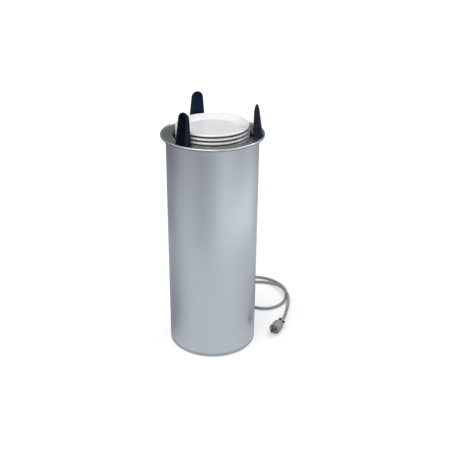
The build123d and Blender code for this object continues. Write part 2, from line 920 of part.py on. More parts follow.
def inner_leads():
    """Wires from the lead's jacket to the block, and on to the element and thermostat."""
    back = block_y + block_size[1] / 2
    front = block_y - block_size[1] / 2
    side = block_size[0] / 2
    leads = []
    for turn, spread in zip(core_turns, (-lead_spread, 0, lead_spread)):
        x = core_circle * math.cos(math.radians(turn))
        z = gland_height + core_circle * math.sin(math.radians(turn))
        points = [
            (x, tail_end(), z),
            (x, tail_end() - core_strip, z),
            (spread, back + lead_run, lead_height),
            (spread, back, lead_height),
        ]
        leads.append(tube(points, lead_radius, [lead_bend, lead_bend]))
    turns, reach = leg_turns_and_radius()
    for turn, y in zip(turns, (block_y + lead_pair / 2, block_y - lead_pair / 2)):
        leg_x = reach * math.cos(math.radians(turn))
        leg_y = reach * math.sin(math.radians(turn))
        points = [
            (side, y, lead_height),
            (leg_x, y, lead_height),
            (leg_x, leg_y, lead_height),
            (leg_x, leg_y, element_leg_end),
        ]
        leads.append(tube(points, lead_radius, [lead_bend, lead_bend]))
    therm_back = thermostat_y + thermostat_size[1] / 2
    points = [(lead_spread, front, lead_height), (lead_spread, therm_back, lead_height)]
    leads.append(tube(points, lead_radius, []))
    return leads


def outward(section):
    """A body of revolution about the gland's axis from (radius, distance) points."""
    body = revolve(Plane.XZ * section, Axis.Z)
    return Pos(0, 0, gland_height) * Rot(-90, 0, 0) * body


def sleeve(radii, distances):
    """A ring on the gland's axis between two radii and two distances."""
    (inner, outer), (low, high) = radii, distances
    corners = ((inner, low), (outer, low), (outer, high), (inner, high))
    return outward(make_face(Polyline(*corners, close=True)))


def strain_relief():
    """Gland with a tapered, ribbed nose for the lead."""
    low = shell_radius
    nose = low + gland_flange
    neck_end = gland_nut_face() - gland_nut_thickness
    bore = cord_diameter / 2 + gland_bore_play
    outline = [
        (bore, neck_end),
        (gland_neck_radius, neck_end),
        (gland_neck_radius, low),
        (gland_flange_radius, low),
        (gland_flange_radius, nose),
        (gland_nose_radius, nose),
        (gland_tip_radius, gland_tip),
        (bore, gland_tip),
    ]
    body = outward(make_face(Polyline(*outline, close=True)))
    for index in range(gland_groove_count):
        share = (index + 1) / (gland_groove_count + 1)
        middle = nose + gland_nose * share
        radius = gland_nose_radius + (gland_tip_radius - gland_nose_radius) * share
        body -= sleeve(
            (radius - gland_groove_depth, radius + cut_spare),
            (middle - gland_groove_width / 2, middle + gland_groove_width / 2),
        )
    return body


def gland_nut():
    """Lock nut inside the casing."""
    high = gland_nut_face()
    radii = (gland_neck_radius + nut_play, gland_nut_radius)
    return sleeve(radii, (high - gland_nut_thickness, high))


def cord_tail():
    """Jacket of the lead through the gland, up to the nose's tip."""
    return sleeve((0, cord_diameter / 2), (tail_end(), gland_tip))


def cord_radii():
    """Radius at each corner of the route, as large as its two runs allow."""
    radii = []
    for before, corner, after in zip(cord_route, cord_route[1:], cord_route[2:]):
        run_in = Vector(*corner) - Vector(*before)
        run_out = Vector(*after) - Vector(*corner)
        half_turn = math.radians(run_in.get_angle(run_out) / 2)
        radii.append(0.45 * min(run_in.length, run_out.length) / math.tan(half_turn))
    return radii


def cord():
    """The free lead from the gland to the plug."""
    path = FilletPolyline(*cord_route, radius=cord_radii())
    section = Plane(origin=path @ 0, z_dir=path % 0) * Circle(cord_diameter / 2)
    return sweep(section, path=path)


def plug_place():
    """Frame of the plug: its origin where the lead enters and +Z towards its face."""
    turn = math.radians(plug_turn)
    along = (math.cos(turn), math.sin(turn), 0)
    level = (-math.sin(turn), math.cos(turn), 0)
    return Plane(origin=cord_route[-1], x_dir=level, z_dir=along).location


def plug_body():
    """Round moulded body with a recess for the face."""
    start = clamp_length
    end = start + plug_body_length
    recess = plug_face_depth + plug_face_thickness
    outline = [
        (0, start),
        (plug_neck_radius, start),
        (plug_shoulder, start + plug_cone_knee),
        (plug_radius, start + plug_cone),
        (plug_radius, end),
        (plug_face_radius, end),
        (plug_face_radius, end - recess),
        (0, end - recess),
    ]
    section = make_face(Polyline(*outline, close=True))
    section = rounded(section, [outline[4]], plug_edge_round)
    section = rounded(section, [outline[3]], plug_edge_round)
    body = turned(section)
    low = start + plug_cone + plug_groove_start
    x = plug_radius + plug_groove_lift
    groove = rod(plug_groove_radius, low, end - plug_groove_end, x=x)
    for index in range(plug_groove_count):
        body -= Rot(0, 0, 360 * index / plug_groove_count) * groove
    return body


def face_level():
    """Distance from the lead's entry to the outer side of the plug's face."""
    return clamp_length + plug_body_length - plug_face_depth


def plug_blades():
    """Two flat blades and a round earth pin."""
    low = face_level() - blade_root
    half_thickness = blade_thickness / 2
    half_width = blade_width / 2
    shapes = []
    for x in (-blade_spacing / 2, blade_spacing / 2):
        sides = (x - half_thickness, x + half_thickness)
        heights = (low, face_level() + blade_length)
        shapes.append(box(sides, (-half_width, half_width), heights))
    shapes.append(rod(pin_radius, low, face_level() + pin_length, y=pin_offset))
    return [Rot(0, 0, plug_roll) * shape for shape in shapes]


def plug_face():
    """Insulating disc that holds the blades."""
    disc = rod(plug_face_radius, face_level() - plug_face_thickness, face_level())
    for blade in plug_blades():
        disc -= blade
    return disc


def clamp_screw_place(y):
    """Middle of a clamp screw, which lies across the saddles."""
    return Pos(0, y, clamp_length / 2) * Rot(0, 90, 0)


def plug_clamp():
    """Two saddles that grip the lead behind the body."""
    bore = cord_diameter / 2 + clamp_fit
    halves = []
    for side in (-1, 1):
        low, high = sorted((side * clamp_split / 2, side * clamp_height / 2))
        half = box((low, high), (-clamp_width / 2, clamp_width / 2), (clamp_step, clamp_length))
        half = fillet(half.edges().filter_by(Axis.Z), clamp_round)
        half -= rod(bore, 0, clamp_length + cut_spare)
        for y in (-clamp_screw_side, clamp_screw_side):
            hole = Cylinder(clamp_screw_radius + clamp_hole_play, clamp_height + 2 * cut_spare)
            half -= clamp_screw_place(y) * hole
        halves.append(half)
    return halves


def plug_clamp_screws():
    """Screws through the two saddles, one each side of the lead."""
    reach = clamp_height / 2
    screw = rod(clamp_screw_radius, -reach, reach)
    screw += rod(clamp_head_radius, reach, reach + clamp_head)
    screw += rod(clamp_head_radius, -reach - clamp_head, -reach)
    return [clamp_screw_place(y) * screw for y in (-clamp_screw_side, clamp_screw_side)]


def plug_cord():
    """Jacket of the lead inside the clamp."""
    return rod(cord_diameter / 2, 0, clamp_length)


def build():
    """Write every node."""
    os.makedirs("parts", exist_ok=True)
    write("top_ring", top_ring())
    write("outer_shell", outer_shell())
    write("base_pan", base_pan())
    for name, turn in guide_turns.items():
        write(name, Rot(0, 0, turn) * guide())
    write("guide_screws", *guide_screws())
    write("base_screws", *base_screws())
    write("spring_hangers", *around(rail_turns, spring_hanger()))
    for number, turn in enumerate(rail_turns, 1):
        write(f"rail_{number}", Rot(0, 0, turn) * rail())
        write(f"carrier_upright_{number}", Rot(0, 0, turn) * upright())
        springs = [Rot(0, 0, turn) * spring(y) for y in (-spring_side, spring_side)]
        write(f"springs_{number}", *springs)
    write("carrier_platform", carrier_platform())
    write("carrier_crossbars", *around(rail_turns, crossbar()))
    write("carrier_spider", spider())
    write("glide_shoes", *glide_shoes())
    write("carrier_screws", *carrier_screws())
    for number in range(1, loose_plate_count + 1):
        write(f"plate_{number}", plate(top_plate_foot - (number - 1) * plate_pitch))
    stacked = range(loose_plate_count, plate_count)
    write("plate_stack", *[plate(top_plate_foot - number * plate_pitch) for number in stacked])
    write("heating_element", heating_element())
    write("element_clips", *element_clips())
    write("heat_baffle", heat_baffle())
    write("baffle_posts", *baffle_posts())
    write("stop_bumpers", *stop_bumpers())
    write("thermostat", thermostat())
    write("thermostat_nut", thermostat_nut())
    write("thermostat_spindle", thermostat_spindle())
    write("sensing_bulb", sensing_bulb())
    write("terminal_block", terminal_block())
    write("inner_leads", *inner_leads())
    write("strain_relief", strain_relief())
    write("gland_nut", gland_nut())
    write("cord_tail", cord_tail())
    write("cord", cord())
    place = plug_place()
    write("plug_body", place * plug_body())
    write("plug_face", place * plug_face())
    write("plug_blades", *[place * blade for blade in plug_blades()])
    clamp_place = place * Rot(0, 0, clamp_roll)
    write("plug_clamp", *[clamp_place * half for half in plug_clamp()])
    write("plug_clamp_screws", *[clamp_place * screw for screw in plug_clamp_screws()])
    write("plug_cord", place * plug_cord())


build()
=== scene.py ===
"""Heated plate dispenser: its looks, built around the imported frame. Lengths are in metres, +Z is up."""

import json
import math

import bmesh
import bpy
from mathutils import Matrix, Vector


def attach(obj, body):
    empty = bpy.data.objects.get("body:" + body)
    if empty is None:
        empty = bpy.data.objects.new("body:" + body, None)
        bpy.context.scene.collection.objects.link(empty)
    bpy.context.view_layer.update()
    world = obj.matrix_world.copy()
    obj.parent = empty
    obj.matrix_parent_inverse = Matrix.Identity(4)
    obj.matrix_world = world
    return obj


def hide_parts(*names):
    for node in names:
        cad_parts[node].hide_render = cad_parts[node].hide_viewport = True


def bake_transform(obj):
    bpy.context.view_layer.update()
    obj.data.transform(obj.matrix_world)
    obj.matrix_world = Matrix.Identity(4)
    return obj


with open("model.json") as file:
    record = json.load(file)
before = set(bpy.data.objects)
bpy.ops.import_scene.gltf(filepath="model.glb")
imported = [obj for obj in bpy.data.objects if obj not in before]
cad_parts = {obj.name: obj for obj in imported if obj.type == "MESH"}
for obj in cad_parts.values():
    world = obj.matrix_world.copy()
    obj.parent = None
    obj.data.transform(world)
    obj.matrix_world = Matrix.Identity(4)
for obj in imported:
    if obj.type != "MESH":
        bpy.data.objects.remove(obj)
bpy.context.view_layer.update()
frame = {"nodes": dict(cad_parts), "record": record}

MM = 0.001

# Sizes shared with the solids, in millimetres
SHELL_RADIUS = 133.5
SHELL_WALL = 1.0
SHELL_LOW = 10.4
SHELL_HIGH = 670.3
RIM_TOP = 675.0
DECK_TOP = 671.5
RING_THICKNESS = 1.2
OPENING_RADIUS = 113.0
DECK_RADIUS = 143.4
FLANGE_RADIUS = 148.75
RIM_LOW = 669.0
COLLAR_LOW = 645.5
PLATE_RADIUS = 105.25
TOP_PLATE_FOOT = 679.15
PLATE_PITCH = 11.4
LOOSE_PLATES = 3
PLATE_COUNT = 12
GUIDE_TURNS = {"guide_right": -8.7, "guide_back": 111.3, "guide_front": 231.3}
GUIDE_INNER = 114.6
GUIDE_LENGTH = 90.5
GUIDE_FOOT = (28.0, 48.0)
GUIDE_TIP = (11.3, 35.0)
GUIDE_DOME = 20.0
GUIDE_LEAN = 3.0
RAIL_TURNS = (51.3, 171.3, 291.3)
SPRING_RADIUS = 122.0
SPRING_SIDE = 24.0
SPRING_TOP = 659.8
SPRING_BOTTOM = 410.75
SPRING_COIL = 11.0
SPRING_WIRE = 1.6
SPRING_EYE = 4.0
GLAND_HEIGHT = 42.0
GLAND_TIP = 167.5
CORD_DIAMETER = 10.0
CORD_REST = 5.15
PLUG_TURN = -119.0
PLUG_RADIUS = 17.5
PLUG_ROLL = 35.0
PLUG_START = 12.5
PLUG_END = 54.5
PLUG_NECK = 11.0
PLUG_SHOULDER = 15.0
PLUG_BARREL = 17.1
PLUG_FACE = 14.8
CLAMP_ROLL = -31.0
CLAMP_START = 2.0
CLAMP_HALF = (10.0, 7.0)
CLAMP_SCREW = (7.4, 6.25)
CLAMP_SCREW_RADIUS = 1.4
FACE_SUNK = 2.0
FACE_THICKNESS = 3.0
BLADE_ROOT = 2.0
BLADE_SIDE = 6.35
BLADE_HALF = 3.2
BLADE_THICKNESS = 1.6
BLADE_OUT = 18.0
PIN_SIDE = 10.0
PIN_RADIUS = 2.4
PIN_OUT = 21.0

# Details that the solids leave out or draw more simply, in millimetres, and counts of points
GUIDE_POINTS = 56
SPRING_TURNS = 58
SPRING_STEPS = 14
EYE_STEPS = 20
GRIP_COUNT = 16
GRIP_START = 14.0
GRIP_LENGTH = 15.0
GRIP_DEPTH = 0.75
BLADE_HOLE = 1.6
CLAMP_HEAD = (4.0, 4.2)
HEAD_SLOT = 0.9

# The lead's route, as in the solids, in millimetres
CORD_ROUTE = [
    (0, GLAND_TIP, GLAND_HEIGHT),
    (0, 196, GLAND_HEIGHT),
    (6, 225, 35),
    (25, 247, 23),
    (55, 254, 12),
    (82, 241, CORD_REST),
    (97, 213, CORD_REST),
    (107, 182, CORD_REST),
    (125, 154, CORD_REST),
    (155, 137.5, CORD_REST),
    (185, 134.5, CORD_REST),
    (213, 145, CORD_REST),
    (238, 166, CORD_REST),
    (252.5, 195, CORD_REST),
    (259.5, 230, CORD_REST),
    (257.5, 265, CORD_REST),
    (243, 299, CORD_REST),
    (217, 328, CORD_REST),
    (184, 347, CORD_REST),
    (148, 352, CORD_REST),
    (108, 353.5, CORD_REST),
    (66, 354.5, CORD_REST),
    (24, 355, CORD_REST),
    (-18, 354, CORD_REST),
    (-58, 343, CORD_REST),
    (-87, 318, CORD_REST),
    (-94, 283, CORD_REST),
    (-79, 252, CORD_REST),
    (-46, 238, CORD_REST),
    (-10, 247, CORD_REST),
    (21, 269, CORD_REST),
    (51, 289, CORD_REST),
    (83, 304, CORD_REST),
    (118, 313, CORD_REST),
    (154, 316.5, CORD_REST),
    (188, 314, CORD_REST),
    (212, 304, 6.5),
    (232, 281, 12),
    (248, 254, 16.4),
    (257.5, 225, 16.4),
    (261.5, 196, 15),
    (259.5, 168, 8),
    (254, 140, CORD_REST),
    (247.5, 112, 8),
    (241.5, 84, 14),
    (232.8, 53.7, PLUG_RADIUS),
    (224.6, 38.9, PLUG_RADIUS),
]


class Nodes:
    """A node tree, of a material or of the world."""

    def __init__(self, tree, coordinates):
        self.tree = tree
        self.place = self.add("ShaderNodeTexCoord").outputs[coordinates]

    def add(self, kind, **settings):
        node = self.tree.nodes.new(kind)
        for key, value in settings.items():
            setattr(node, key, value)
        return node

    def put(self, socket, value):
        """Link the socket to another one, or set it."""
        if isinstance(value, bpy.types.NodeSocket):
            self.tree.links.new(value, socket)
        elif isinstance(value, tuple) and len(value) == 3 and socket.type == "RGBA":
            socket.default_value = (*value, 1.0)
        else:
            socket.default_value = value

    def filled(self, node, *values):
        """The node's first output, after its inputs are put in order."""
        for socket, value in zip(node.inputs, values):
            self.put(socket, value)
        return node.outputs[0]

    def math(self, operation, a, b=0.0):
        return self.filled(self.add("ShaderNodeMath", operation=operation), a, b)

    def split(self, place=None):
        node = self.add("ShaderNodeSeparateXYZ")
        self.put(node.inputs[0], place or self.place)
        return node.outputs[0], node.outputs[1], node.outputs[2]

    def ramp(self, factor, stops, interpolation="LINEAR"):
        """Colours or grey levels along a factor, from (position, value) pairs."""
        node = self.add("ShaderNodeValToRGB")
        node.color_ramp.interpolation = interpolation
        elements = node.color_ramp.elements
        while len(elements) < len(stops):
            elements.new(0.5)
        for element, (position, value) in zip(elements, stops):
            element.position = position
            colour = value if isinstance(value, tuple) else (value, value, value)
            element.color = (*colour, 1.0)
        return self.filled(node, factor)

    def spread(self, factor, low, high, start=0.3, end=0.7):
        """Grey level from low to high as the factor goes from start to end."""
        return self.filled(self.add("ShaderNodeMapRange"), factor, start, end, low, high)

    def light(self, kind, colour, strength):
        """An emission or background shader."""
        node = self.add(kind)
        self.put(node.inputs["Color"], colour)
        self.put(node.inputs["Strength"], strength)
        return node.outputs[0]

    def choice(self, factor, first, second):
        """The first shader where the factor is 0, the second where it is 1."""
        return self.filled(self.add("ShaderNodeMixShader"), factor, first, second)


class Shader(Nodes):
    """One material's node tree."""

    def __init__(self, name):
        self.material = bpy.data.materials.new(name)
        self.material.use_nodes = True
        super().__init__(self.material.node_tree, "Object")
        self.bsdf = self.tree.nodes["Principled BSDF"]

    def stretched(self, scale):
        """Coordinates multiplied by a scale for each axis."""
        node = self.add("ShaderNodeVectorMath", operation="MULTIPLY")
        return self.filled(node, self.place, scale)

    def joined(self, x, y, z):
        return self.filled(self.add("ShaderNodeCombineXYZ"), x, y, z)

    def radius(self):
        """Distance from the vertical axis."""
        x, y = self.split()[:2]
        squares = self.math("ADD", self.math("MULTIPLY", x, x), self.math("MULTIPLY", y, y))
        return self.math("SQRT", squares)

    def noise(self, scale, detail=3.0, roughness=0.5, place=None):
        node = self.add("ShaderNodeTexNoise")
        self.put(node.inputs["Vector"], place or self.place)
        node.inputs["Scale"].default_value = scale
        node.inputs["Detail"].default_value = detail
        node.inputs["Roughness"].default_value = roughness
        return node.outputs["Fac"]

    def cells(self, scale, output="Distance"):
        node = self.add("ShaderNodeTexVoronoi")
        self.put(node.inputs["Vector"], self.place)
        node.inputs["Scale"].default_value = scale
        return node.outputs[output]

    def mix(self, factor, a, b, blend="MIX"):
        node = self.add("ShaderNodeMix", data_type="RGBA", blend_type=blend)
        self.put(node.inputs[0], factor)
        self.put(node.inputs[6], a)
        self.put(node.inputs[7], b)
        return node.outputs[2]

    def bump(self, height, distance, after=None):
        """A normal raised by a height, on top of another normal where one is given."""
        node = self.add("ShaderNodeBump")
        self.put(node.inputs["Height"], height)
        node.inputs["Distance"].default_value = distance
        if after is not None:
            self.put(node.inputs["Normal"], after)
        return node.outputs["Normal"]

    def set(self, **values):
        """Set or link the shader's own sockets, with _ for a space in their names."""
        for key, value in values.items():
            self.put(self.bsdf.inputs[key.replace("_", " ")], value)
        return self.material


def shell_steel():
    """Satin sheet steel of the casing: faint rolled grain round it and a soft mottle."""
    s = Shader("shell_steel")
    mottle = s.noise(9.0, 4.0, 0.6, s.stretched((1.0, 1.0, 0.45)))
    grain = s.noise(1.0, 2.0, 0.6, s.stretched((14.0, 14.0, 2600.0)))
    lines = s.noise(1.0, 3.0, 0.6, s.stretched((60.0, 60.0, 3.0)))
    tone = s.ramp(mottle, [(0.3, (0.550, 0.603, 0.665)), (0.7, (0.595, 0.648, 0.708))])
    tone = s.mix(s.spread(lines, 0.0, 0.10), tone, (0.495, 0.535, 0.58))
    tone = s.mix(s.spread(grain, 0.0, 0.12), tone, (0.70, 0.735, 0.77))
    rough = s.math("ADD", s.spread(mottle, 0.25, 0.31), s.spread(grain, 0.0, 0.04))
    waves = s.bump(s.noise(4.5, 1.0, 0.4, s.stretched((1.0, 1.0, 0.6))), 0.0011)
    normal = s.bump(grain, 0.00001, waves)
    return s.set(Base_Color=tone, Metallic=1.0, Roughness=rough, Normal=normal, Anisotropic=0.25)


def ring_steel():
    """Spun steel of the flange: fine turned rings, a darker deck, a painted highlight on the rim and
    painted shade under its edge.
    """
    s = Shader("ring_steel")
    radius = s.radius()
    z = s.split()[2]
    turned = s.noise(1.0, 2.0, 0.6, s.joined(s.math("MULTIPLY", radius, 2400.0), 0.0, 0.0))
    wide = s.noise(1.0, 2.0, 0.5, s.joined(s.math("MULTIPLY", radius, 260.0), 0.0, 0.0))
    mottle = s.noise(14.0, 4.0, 0.6)
    tone = s.ramp(mottle, [(0.3, (0.305, 0.328, 0.328)), (0.7, (0.370, 0.393, 0.393))])
    tone = s.mix(s.spread(turned, 0.0, 0.22), tone, (0.52, 0.53, 0.53))
    tone = s.mix(s.spread(wide, 0.0, 0.15), tone, (0.26, 0.265, 0.265))
    # Painted highlight: the rim's colour is raised to bright steel.
    rim = s.spread(radius, 0.0, 1.0, 0.1435, 0.1465)
    tone = s.mix(rim, tone, (0.80, 0.83, 0.85))
    # Painted shade: the lower part of the rim's edge is darkened.
    under = s.spread(z, 1.0, 0.0, 0.6700, 0.6728)
    tone = s.mix(s.math("MULTIPLY", rim, under), tone, (0.16, 0.165, 0.17))
    grooves = s.math("MULTIPLY", turned, s.spread(radius, 1.0, 0.0, 0.1425, 0.1440))
    rough = s.math("ADD", s.spread(mottle, 0.26, 0.36), s.spread(turned, 0.0, 0.05))
    normal = s.bump(grooves, 0.000012, s.bump(s.noise(7.0, 1.0), 0.0006))
    return s.set(
        Base_Color=tone,
        Metallic=1.0,
        Roughness=rough,
        Normal=normal,
        Anisotropic=0.55,
        Anisotropic_Rotation=0.25,
    )


def pan_steel():
    """Drawn sheet of the base pan, duller than the casing."""
    s = Shader("pan_steel")
    mottle = s.noise(11.0, 5.0, 0.65)
    drawn = s.noise(1.0, 3.0, 0.6, s.joined(s.math("MULTIPLY", s.radius(), 900.0), 0.0, 0.0))
    tone = s.ramp(mottle, [(0.3, (0.43, 0.46, 0.485)), (0.7, (0.51, 0.54, 0.56))])
    tone = s.mix(s.spread(drawn, 0.0, 0.15), tone, (0.36, 0.37, 0.38))
    rough = s.spread(mottle, 0.28, 0.38)
    return s.set(Base_Color=tone, Metallic=1.0, Roughness=rough, Normal=s.bump(drawn, 0.00002))


def zinc_steel():
    """Galvanised sheet with faint crystals."""
    s = Shader("zinc_steel")
    crystals = s.cells(120.0, "Color")
    level = s.split(crystals)[0]
    dull = s.noise(25.0, 4.0, 0.6)
    low, high = 0.516, 0.60
    tone = s.ramp(level, [(0.0, (low, low, low * 1.02)), (1.0, (high, high, high * 0.99))])
    tone = s.mix(s.spread(dull, 0.0, 0.35), tone, (0.42, 0.42, 0.42))
    rough = s.math("ADD", s.spread(level, 0.30, 0.40, 0.0, 1.0), s.spread(dull, 0.0, 0.10))
    return s.set(Base_Color=tone, Metallic=1.0, Roughness=rough, Normal=s.bump(dull, 0.00006))


def bright_steel(name, tone_low, tone_high, rough=0.28):
    """Plated or bare turned steel of fasteners and springs."""
    s = Shader(name)
    wear = s.noise(420.0, 4.0, 0.65)
    drawn = s.noise(1.0, 2.0, 0.6, s.stretched((900.0, 900.0, 2200.0)))
    tone = s.ramp(wear, [(0.3, tone_low), (0.7, tone_high)])
    level = s.math("ADD", s.spread(wear, rough - 0.05, rough + 0.08), s.spread(drawn, 0.0, 0.05))
    return s.set(Base_Color=tone, Metallic=1.0, Roughness=level, Normal=s.bump(drawn, 0.00001))


def element_sheath():
    """Heater sheath: dark alloy with straw and blue heat tints."""
    s = Shader("element_sheath")
    heat = s.noise(38.0, 3.0, 0.6)
    scale = s.noise(700.0, 4.0, 0.7)
    tone = s.ramp(
        heat,
        [
            (0.28, (0.10, 0.095, 0.09)),
            (0.45, (0.19, 0.165, 0.13)),
            (0.58, (0.16, 0.15, 0.15)),
            (0.72, (0.12, 0.125, 0.15)),
        ],
    )
    tone = s.mix(s.spread(scale, 0.0, 0.4), tone, (0.07, 0.065, 0.06))
    rough = s.spread(scale, 0.42, 0.62)
    return s.set(Base_Color=tone, Metallic=0.85, Roughness=rough, Normal=s.bump(scale, 0.00003))


def aluminium():
    """Rolled aluminium of the heat baffle."""
    s = Shader("baffle_aluminium")
    rolled = s.noise(1.0, 3.0, 0.6, s.stretched((26.0, 1800.0, 26.0)))
    smear = s.noise(16.0, 4.0, 0.6)
    tone = s.ramp(rolled, [(0.3, (0.62, 0.63, 0.64)), (0.7, (0.74, 0.75, 0.76))])
    tone = s.mix(s.spread(smear, 0.0, 0.3), tone, (0.55, 0.54, 0.52))
    rough = s.spread(smear, 0.26, 0.40)
    return s.set(Base_Color=tone, Metallic=1.0, Roughness=rough, Normal=s.bump(rolled, 0.00001))


def guide_plastic():
    """Moulded navy plastic, scuffed, with painted shade on its outer face and a painted highlight on its
    flanks and their corners.
    """
    s = Shader("guide_plastic")
    flow = s.noise(22.0, 3.0, 0.5, s.stretched((1.0, 1.0, 0.35)))
    die = s.noise(1700.0, 2.0, 0.6)
    scuffs = s.noise(1.0, 4.0, 0.7, s.stretched((420.0, 420.0, 60.0)))
    tone = s.ramp(flow, [(0.3, (0.0035, 0.0065, 0.016)), (0.7, (0.005, 0.0095, 0.023))])
    marks = s.spread(scuffs, 0.0, 1.0, 0.66, 0.80)
    tone = s.mix(s.math("MULTIPLY", marks, 0.15), tone, (0.03, 0.035, 0.05))
    x, y, z = s.split()
    turn = s.math("ADD", s.math("ARCTAN2", y, x), math.radians(-GUIDE_TURNS["guide_right"]))
    aside = s.math("MULTIPLY", s.radius(), s.math("PINGPONG", turn, math.radians(60.0)))
    half_foot = GUIDE_FOOT[1] / 2 * MM
    half_tip = GUIDE_TIP[1] / 2 * MM
    tip_height = (DECK_TOP + GUIDE_LENGTH) * MM
    half_width = s.spread(z, half_foot, half_tip, DECK_TOP * MM, tip_height)
    edge = s.math("DIVIDE", aside, half_width)
    foot_middle = GUIDE_INNER + GUIDE_FOOT[0] / 2
    tip_middle = GUIDE_INNER + GUIDE_LEAN + GUIDE_TIP[0] / 2
    middle = s.spread(z, foot_middle * MM, tip_middle * MM, DECK_TOP * MM, tip_height)
    # Painted shade: the outer face is darkened.
    outer = s.spread(s.math("SUBTRACT", s.radius(), middle), 0.0, 0.85, 0.001, 0.005)
    tone = s.mix(outer, tone, (0.0010, 0.0014, 0.0026))
    # Painted highlight: the flanks and the corners next to them are lightened.
    painted_flank_highlight = s.ramp(edge, [(0.60, 0.0), (0.80, 0.75), (0.90, 0.90), (1.0, 0.80)])
    tone = s.mix(painted_flank_highlight, tone, (0.016, 0.020, 0.034))
    rough = s.math("ADD", s.spread(flow, 0.24, 0.30), s.math("MULTIPLY", marks, 0.10))
    normal = s.bump(die, 0.000012, s.bump(flow, 0.0004))
    # Where the shade and the highlight are painted, the gloss is lowered too.
    dull = s.math("MAXIMUM", outer, painted_flank_highlight)
    return s.set(
        Base_Color=tone,
        Roughness=rough,
        Normal=normal,
        Specular_IOR_Level=s.spread(dull, 0.30, 0.10, 0.0, 0.9),
        Specular_Tint=(0.30, 0.55, 0.95),
    )


def plate_glaze(name, foot):
    """Off-white glaze: bare under the foot at the given height, a painted highlight that makes the rim
    paler, and painted shade under the rim in the gaps between stacked plates.
    """
    s = Shader(name)
    cloud = s.noise(11.0, 4.0, 0.55)
    specks = s.cells(260.0)
    ripple = s.noise(42.0, 2.0, 0.5)
    tone = s.ramp(cloud, [(0.3, (0.752, 0.757, 0.762)), (0.7, (0.790, 0.795, 0.800))])
    marks = s.spread(specks, 0.35, 0.0, 0.02, 0.06)
    tone = s.mix(marks, tone, (0.60, 0.58, 0.53))
    # Painted highlight: the rolled edge is paler.
    rolled_edge = s.spread(s.radius(), 0.0, 1.0, 0.1032, 0.1042)
    tone = s.mix(rolled_edge, tone, (0.885, 0.89, 0.895))
    z = s.split()[2]
    bare = s.spread(z, 1.0, 0.0, (foot + 0.35) * MM, (foot + 0.75) * MM)
    clay = s.mix(s.noise(900.0, 3.0), (0.60, 0.55, 0.47), (0.70, 0.66, 0.58))
    tone = s.mix(bare, tone, clay)
    # Painted shade: the underside of each rim, in the gap between stacked plates, is darkened.
    level = s.math("FLOORED_MODULO", s.math("SUBTRACT", z, foot * MM), PLATE_PITCH * MM)
    below = s.spread(level, 1.0, 0.0, 4.9 * MM, 6.3 * MM)
    outside = s.spread(s.radius(), 0.0, 0.8, 0.090, 0.097)
    tone = s.mix(s.math("MULTIPLY", below, outside), tone, (0.14, 0.14, 0.145))
    rough = s.math("ADD", s.spread(cloud, 0.10, 0.17), s.math("MULTIPLY", bare, 0.6))
    return s.set(
        Base_Color=tone,
        Roughness=rough,
        Normal=s.bump(ripple, 0.00012),
        Coat_Weight=0.4,
        Coat_Roughness=0.06,
    )


def plastic(name, low, high, rough=0.45):
    """Moulded plastic or rubber with an uneven, slightly grained surface."""
    s = Shader(name)
    cloud = s.noise(30.0, 4.0, 0.6)
    grain = s.noise(1440.0, 3.0, 0.6)
    tone = s.ramp(cloud, [(0.3, low), (0.7, high)])
    dust = s.spread(grain, 0.0, 0.25, 0.55, 0.75)
    pale = tuple(min(1.0, value * 1.5 + 0.02) for value in high)
    tone = s.mix(dust, tone, pale)
    level = s.spread(cloud, rough - 0.05, rough + 0.07)
    return s.set(Base_Color=tone, Roughness=level, Normal=s.bump(grain, 0.00004))


def cord_jacket():
    """Grey extruded jacket, satin, with a fine grain and a dusty film."""
    s = Shader("cord_jacket")
    cloud = s.noise(60.0, 4.0, 0.6)
    grain = s.noise(1500.0, 3.0, 0.6)
    tone = s.ramp(cloud, [(0.3, (0.250, 0.270, 0.290)), (0.7, (0.295, 0.315, 0.335))])
    tone = s.mix(s.spread(grain, 0.0, 0.15), tone, (0.36, 0.38, 0.40))
    return s.set(
        Base_Color=tone,
        Roughness=s.spread(cloud, 0.26, 0.34),
        Specular_IOR_Level=0.9,
        Normal=s.bump(grain, 0.00002),
    )


def copper():
    """Capillary and bulb: copper gone dull."""
    s = Shader("copper_line")
    stain = s.noise(160.0, 4.0, 0.65)
    tone = s.ramp(
        stain, [(0.3, (0.62, 0.33, 0.20)), (0.55, (0.55, 0.28, 0.17)), (0.75, (0.30, 0.17, 0.11))]
    )
    rough = s.spread(stain, 0.25, 0.45)
    return s.set(Base_Color=tone, Metallic=1.0, Roughness=rough, Normal=s.bump(stain, 0.00003))


def brass():
    """Blades and earth pin: brass gone a little dull."""
    s = Shader("blade_brass")
    stain = s.noise(260.0, 4.0, 0.65)
    tone = s.ramp(stain, [(0.3, (0.40, 0.33, 0.20)), (0.7, (0.28, 0.235, 0.15))])
    rough = s.spread(stain, 0.22, 0.38)
    return s.set(Base_Color=tone, Metallic=1.0, Roughness=rough, Normal=s.bump(stain, 0.00002))


def sleeving():
    """Braided sleeves of the inner leads, one pale and one red."""
    s = Shader("lead_sleeve")
    weave = s.cells(900.0)
    side = s.spread(s.split()[0], 0.0, 1.0, -0.006, 0.006)
    tone = s.mix(side, (0.62, 0.60, 0.55), (0.42, 0.07, 0.05))
    tone = s.mix(s.spread(weave, 0.35, 0.0, 0.0, 0.5), tone, (0.20, 0.12, 0.10))
    return s.set(Base_Color=tone, Roughness=0.7, Normal=s.bump(weave, 0.00015))


def linked(name, data):
    """A new object in the scene."""
    item = bpy.data.objects.new(name, data)
    bpy.context.scene.collection.objects.link(item)
    return item


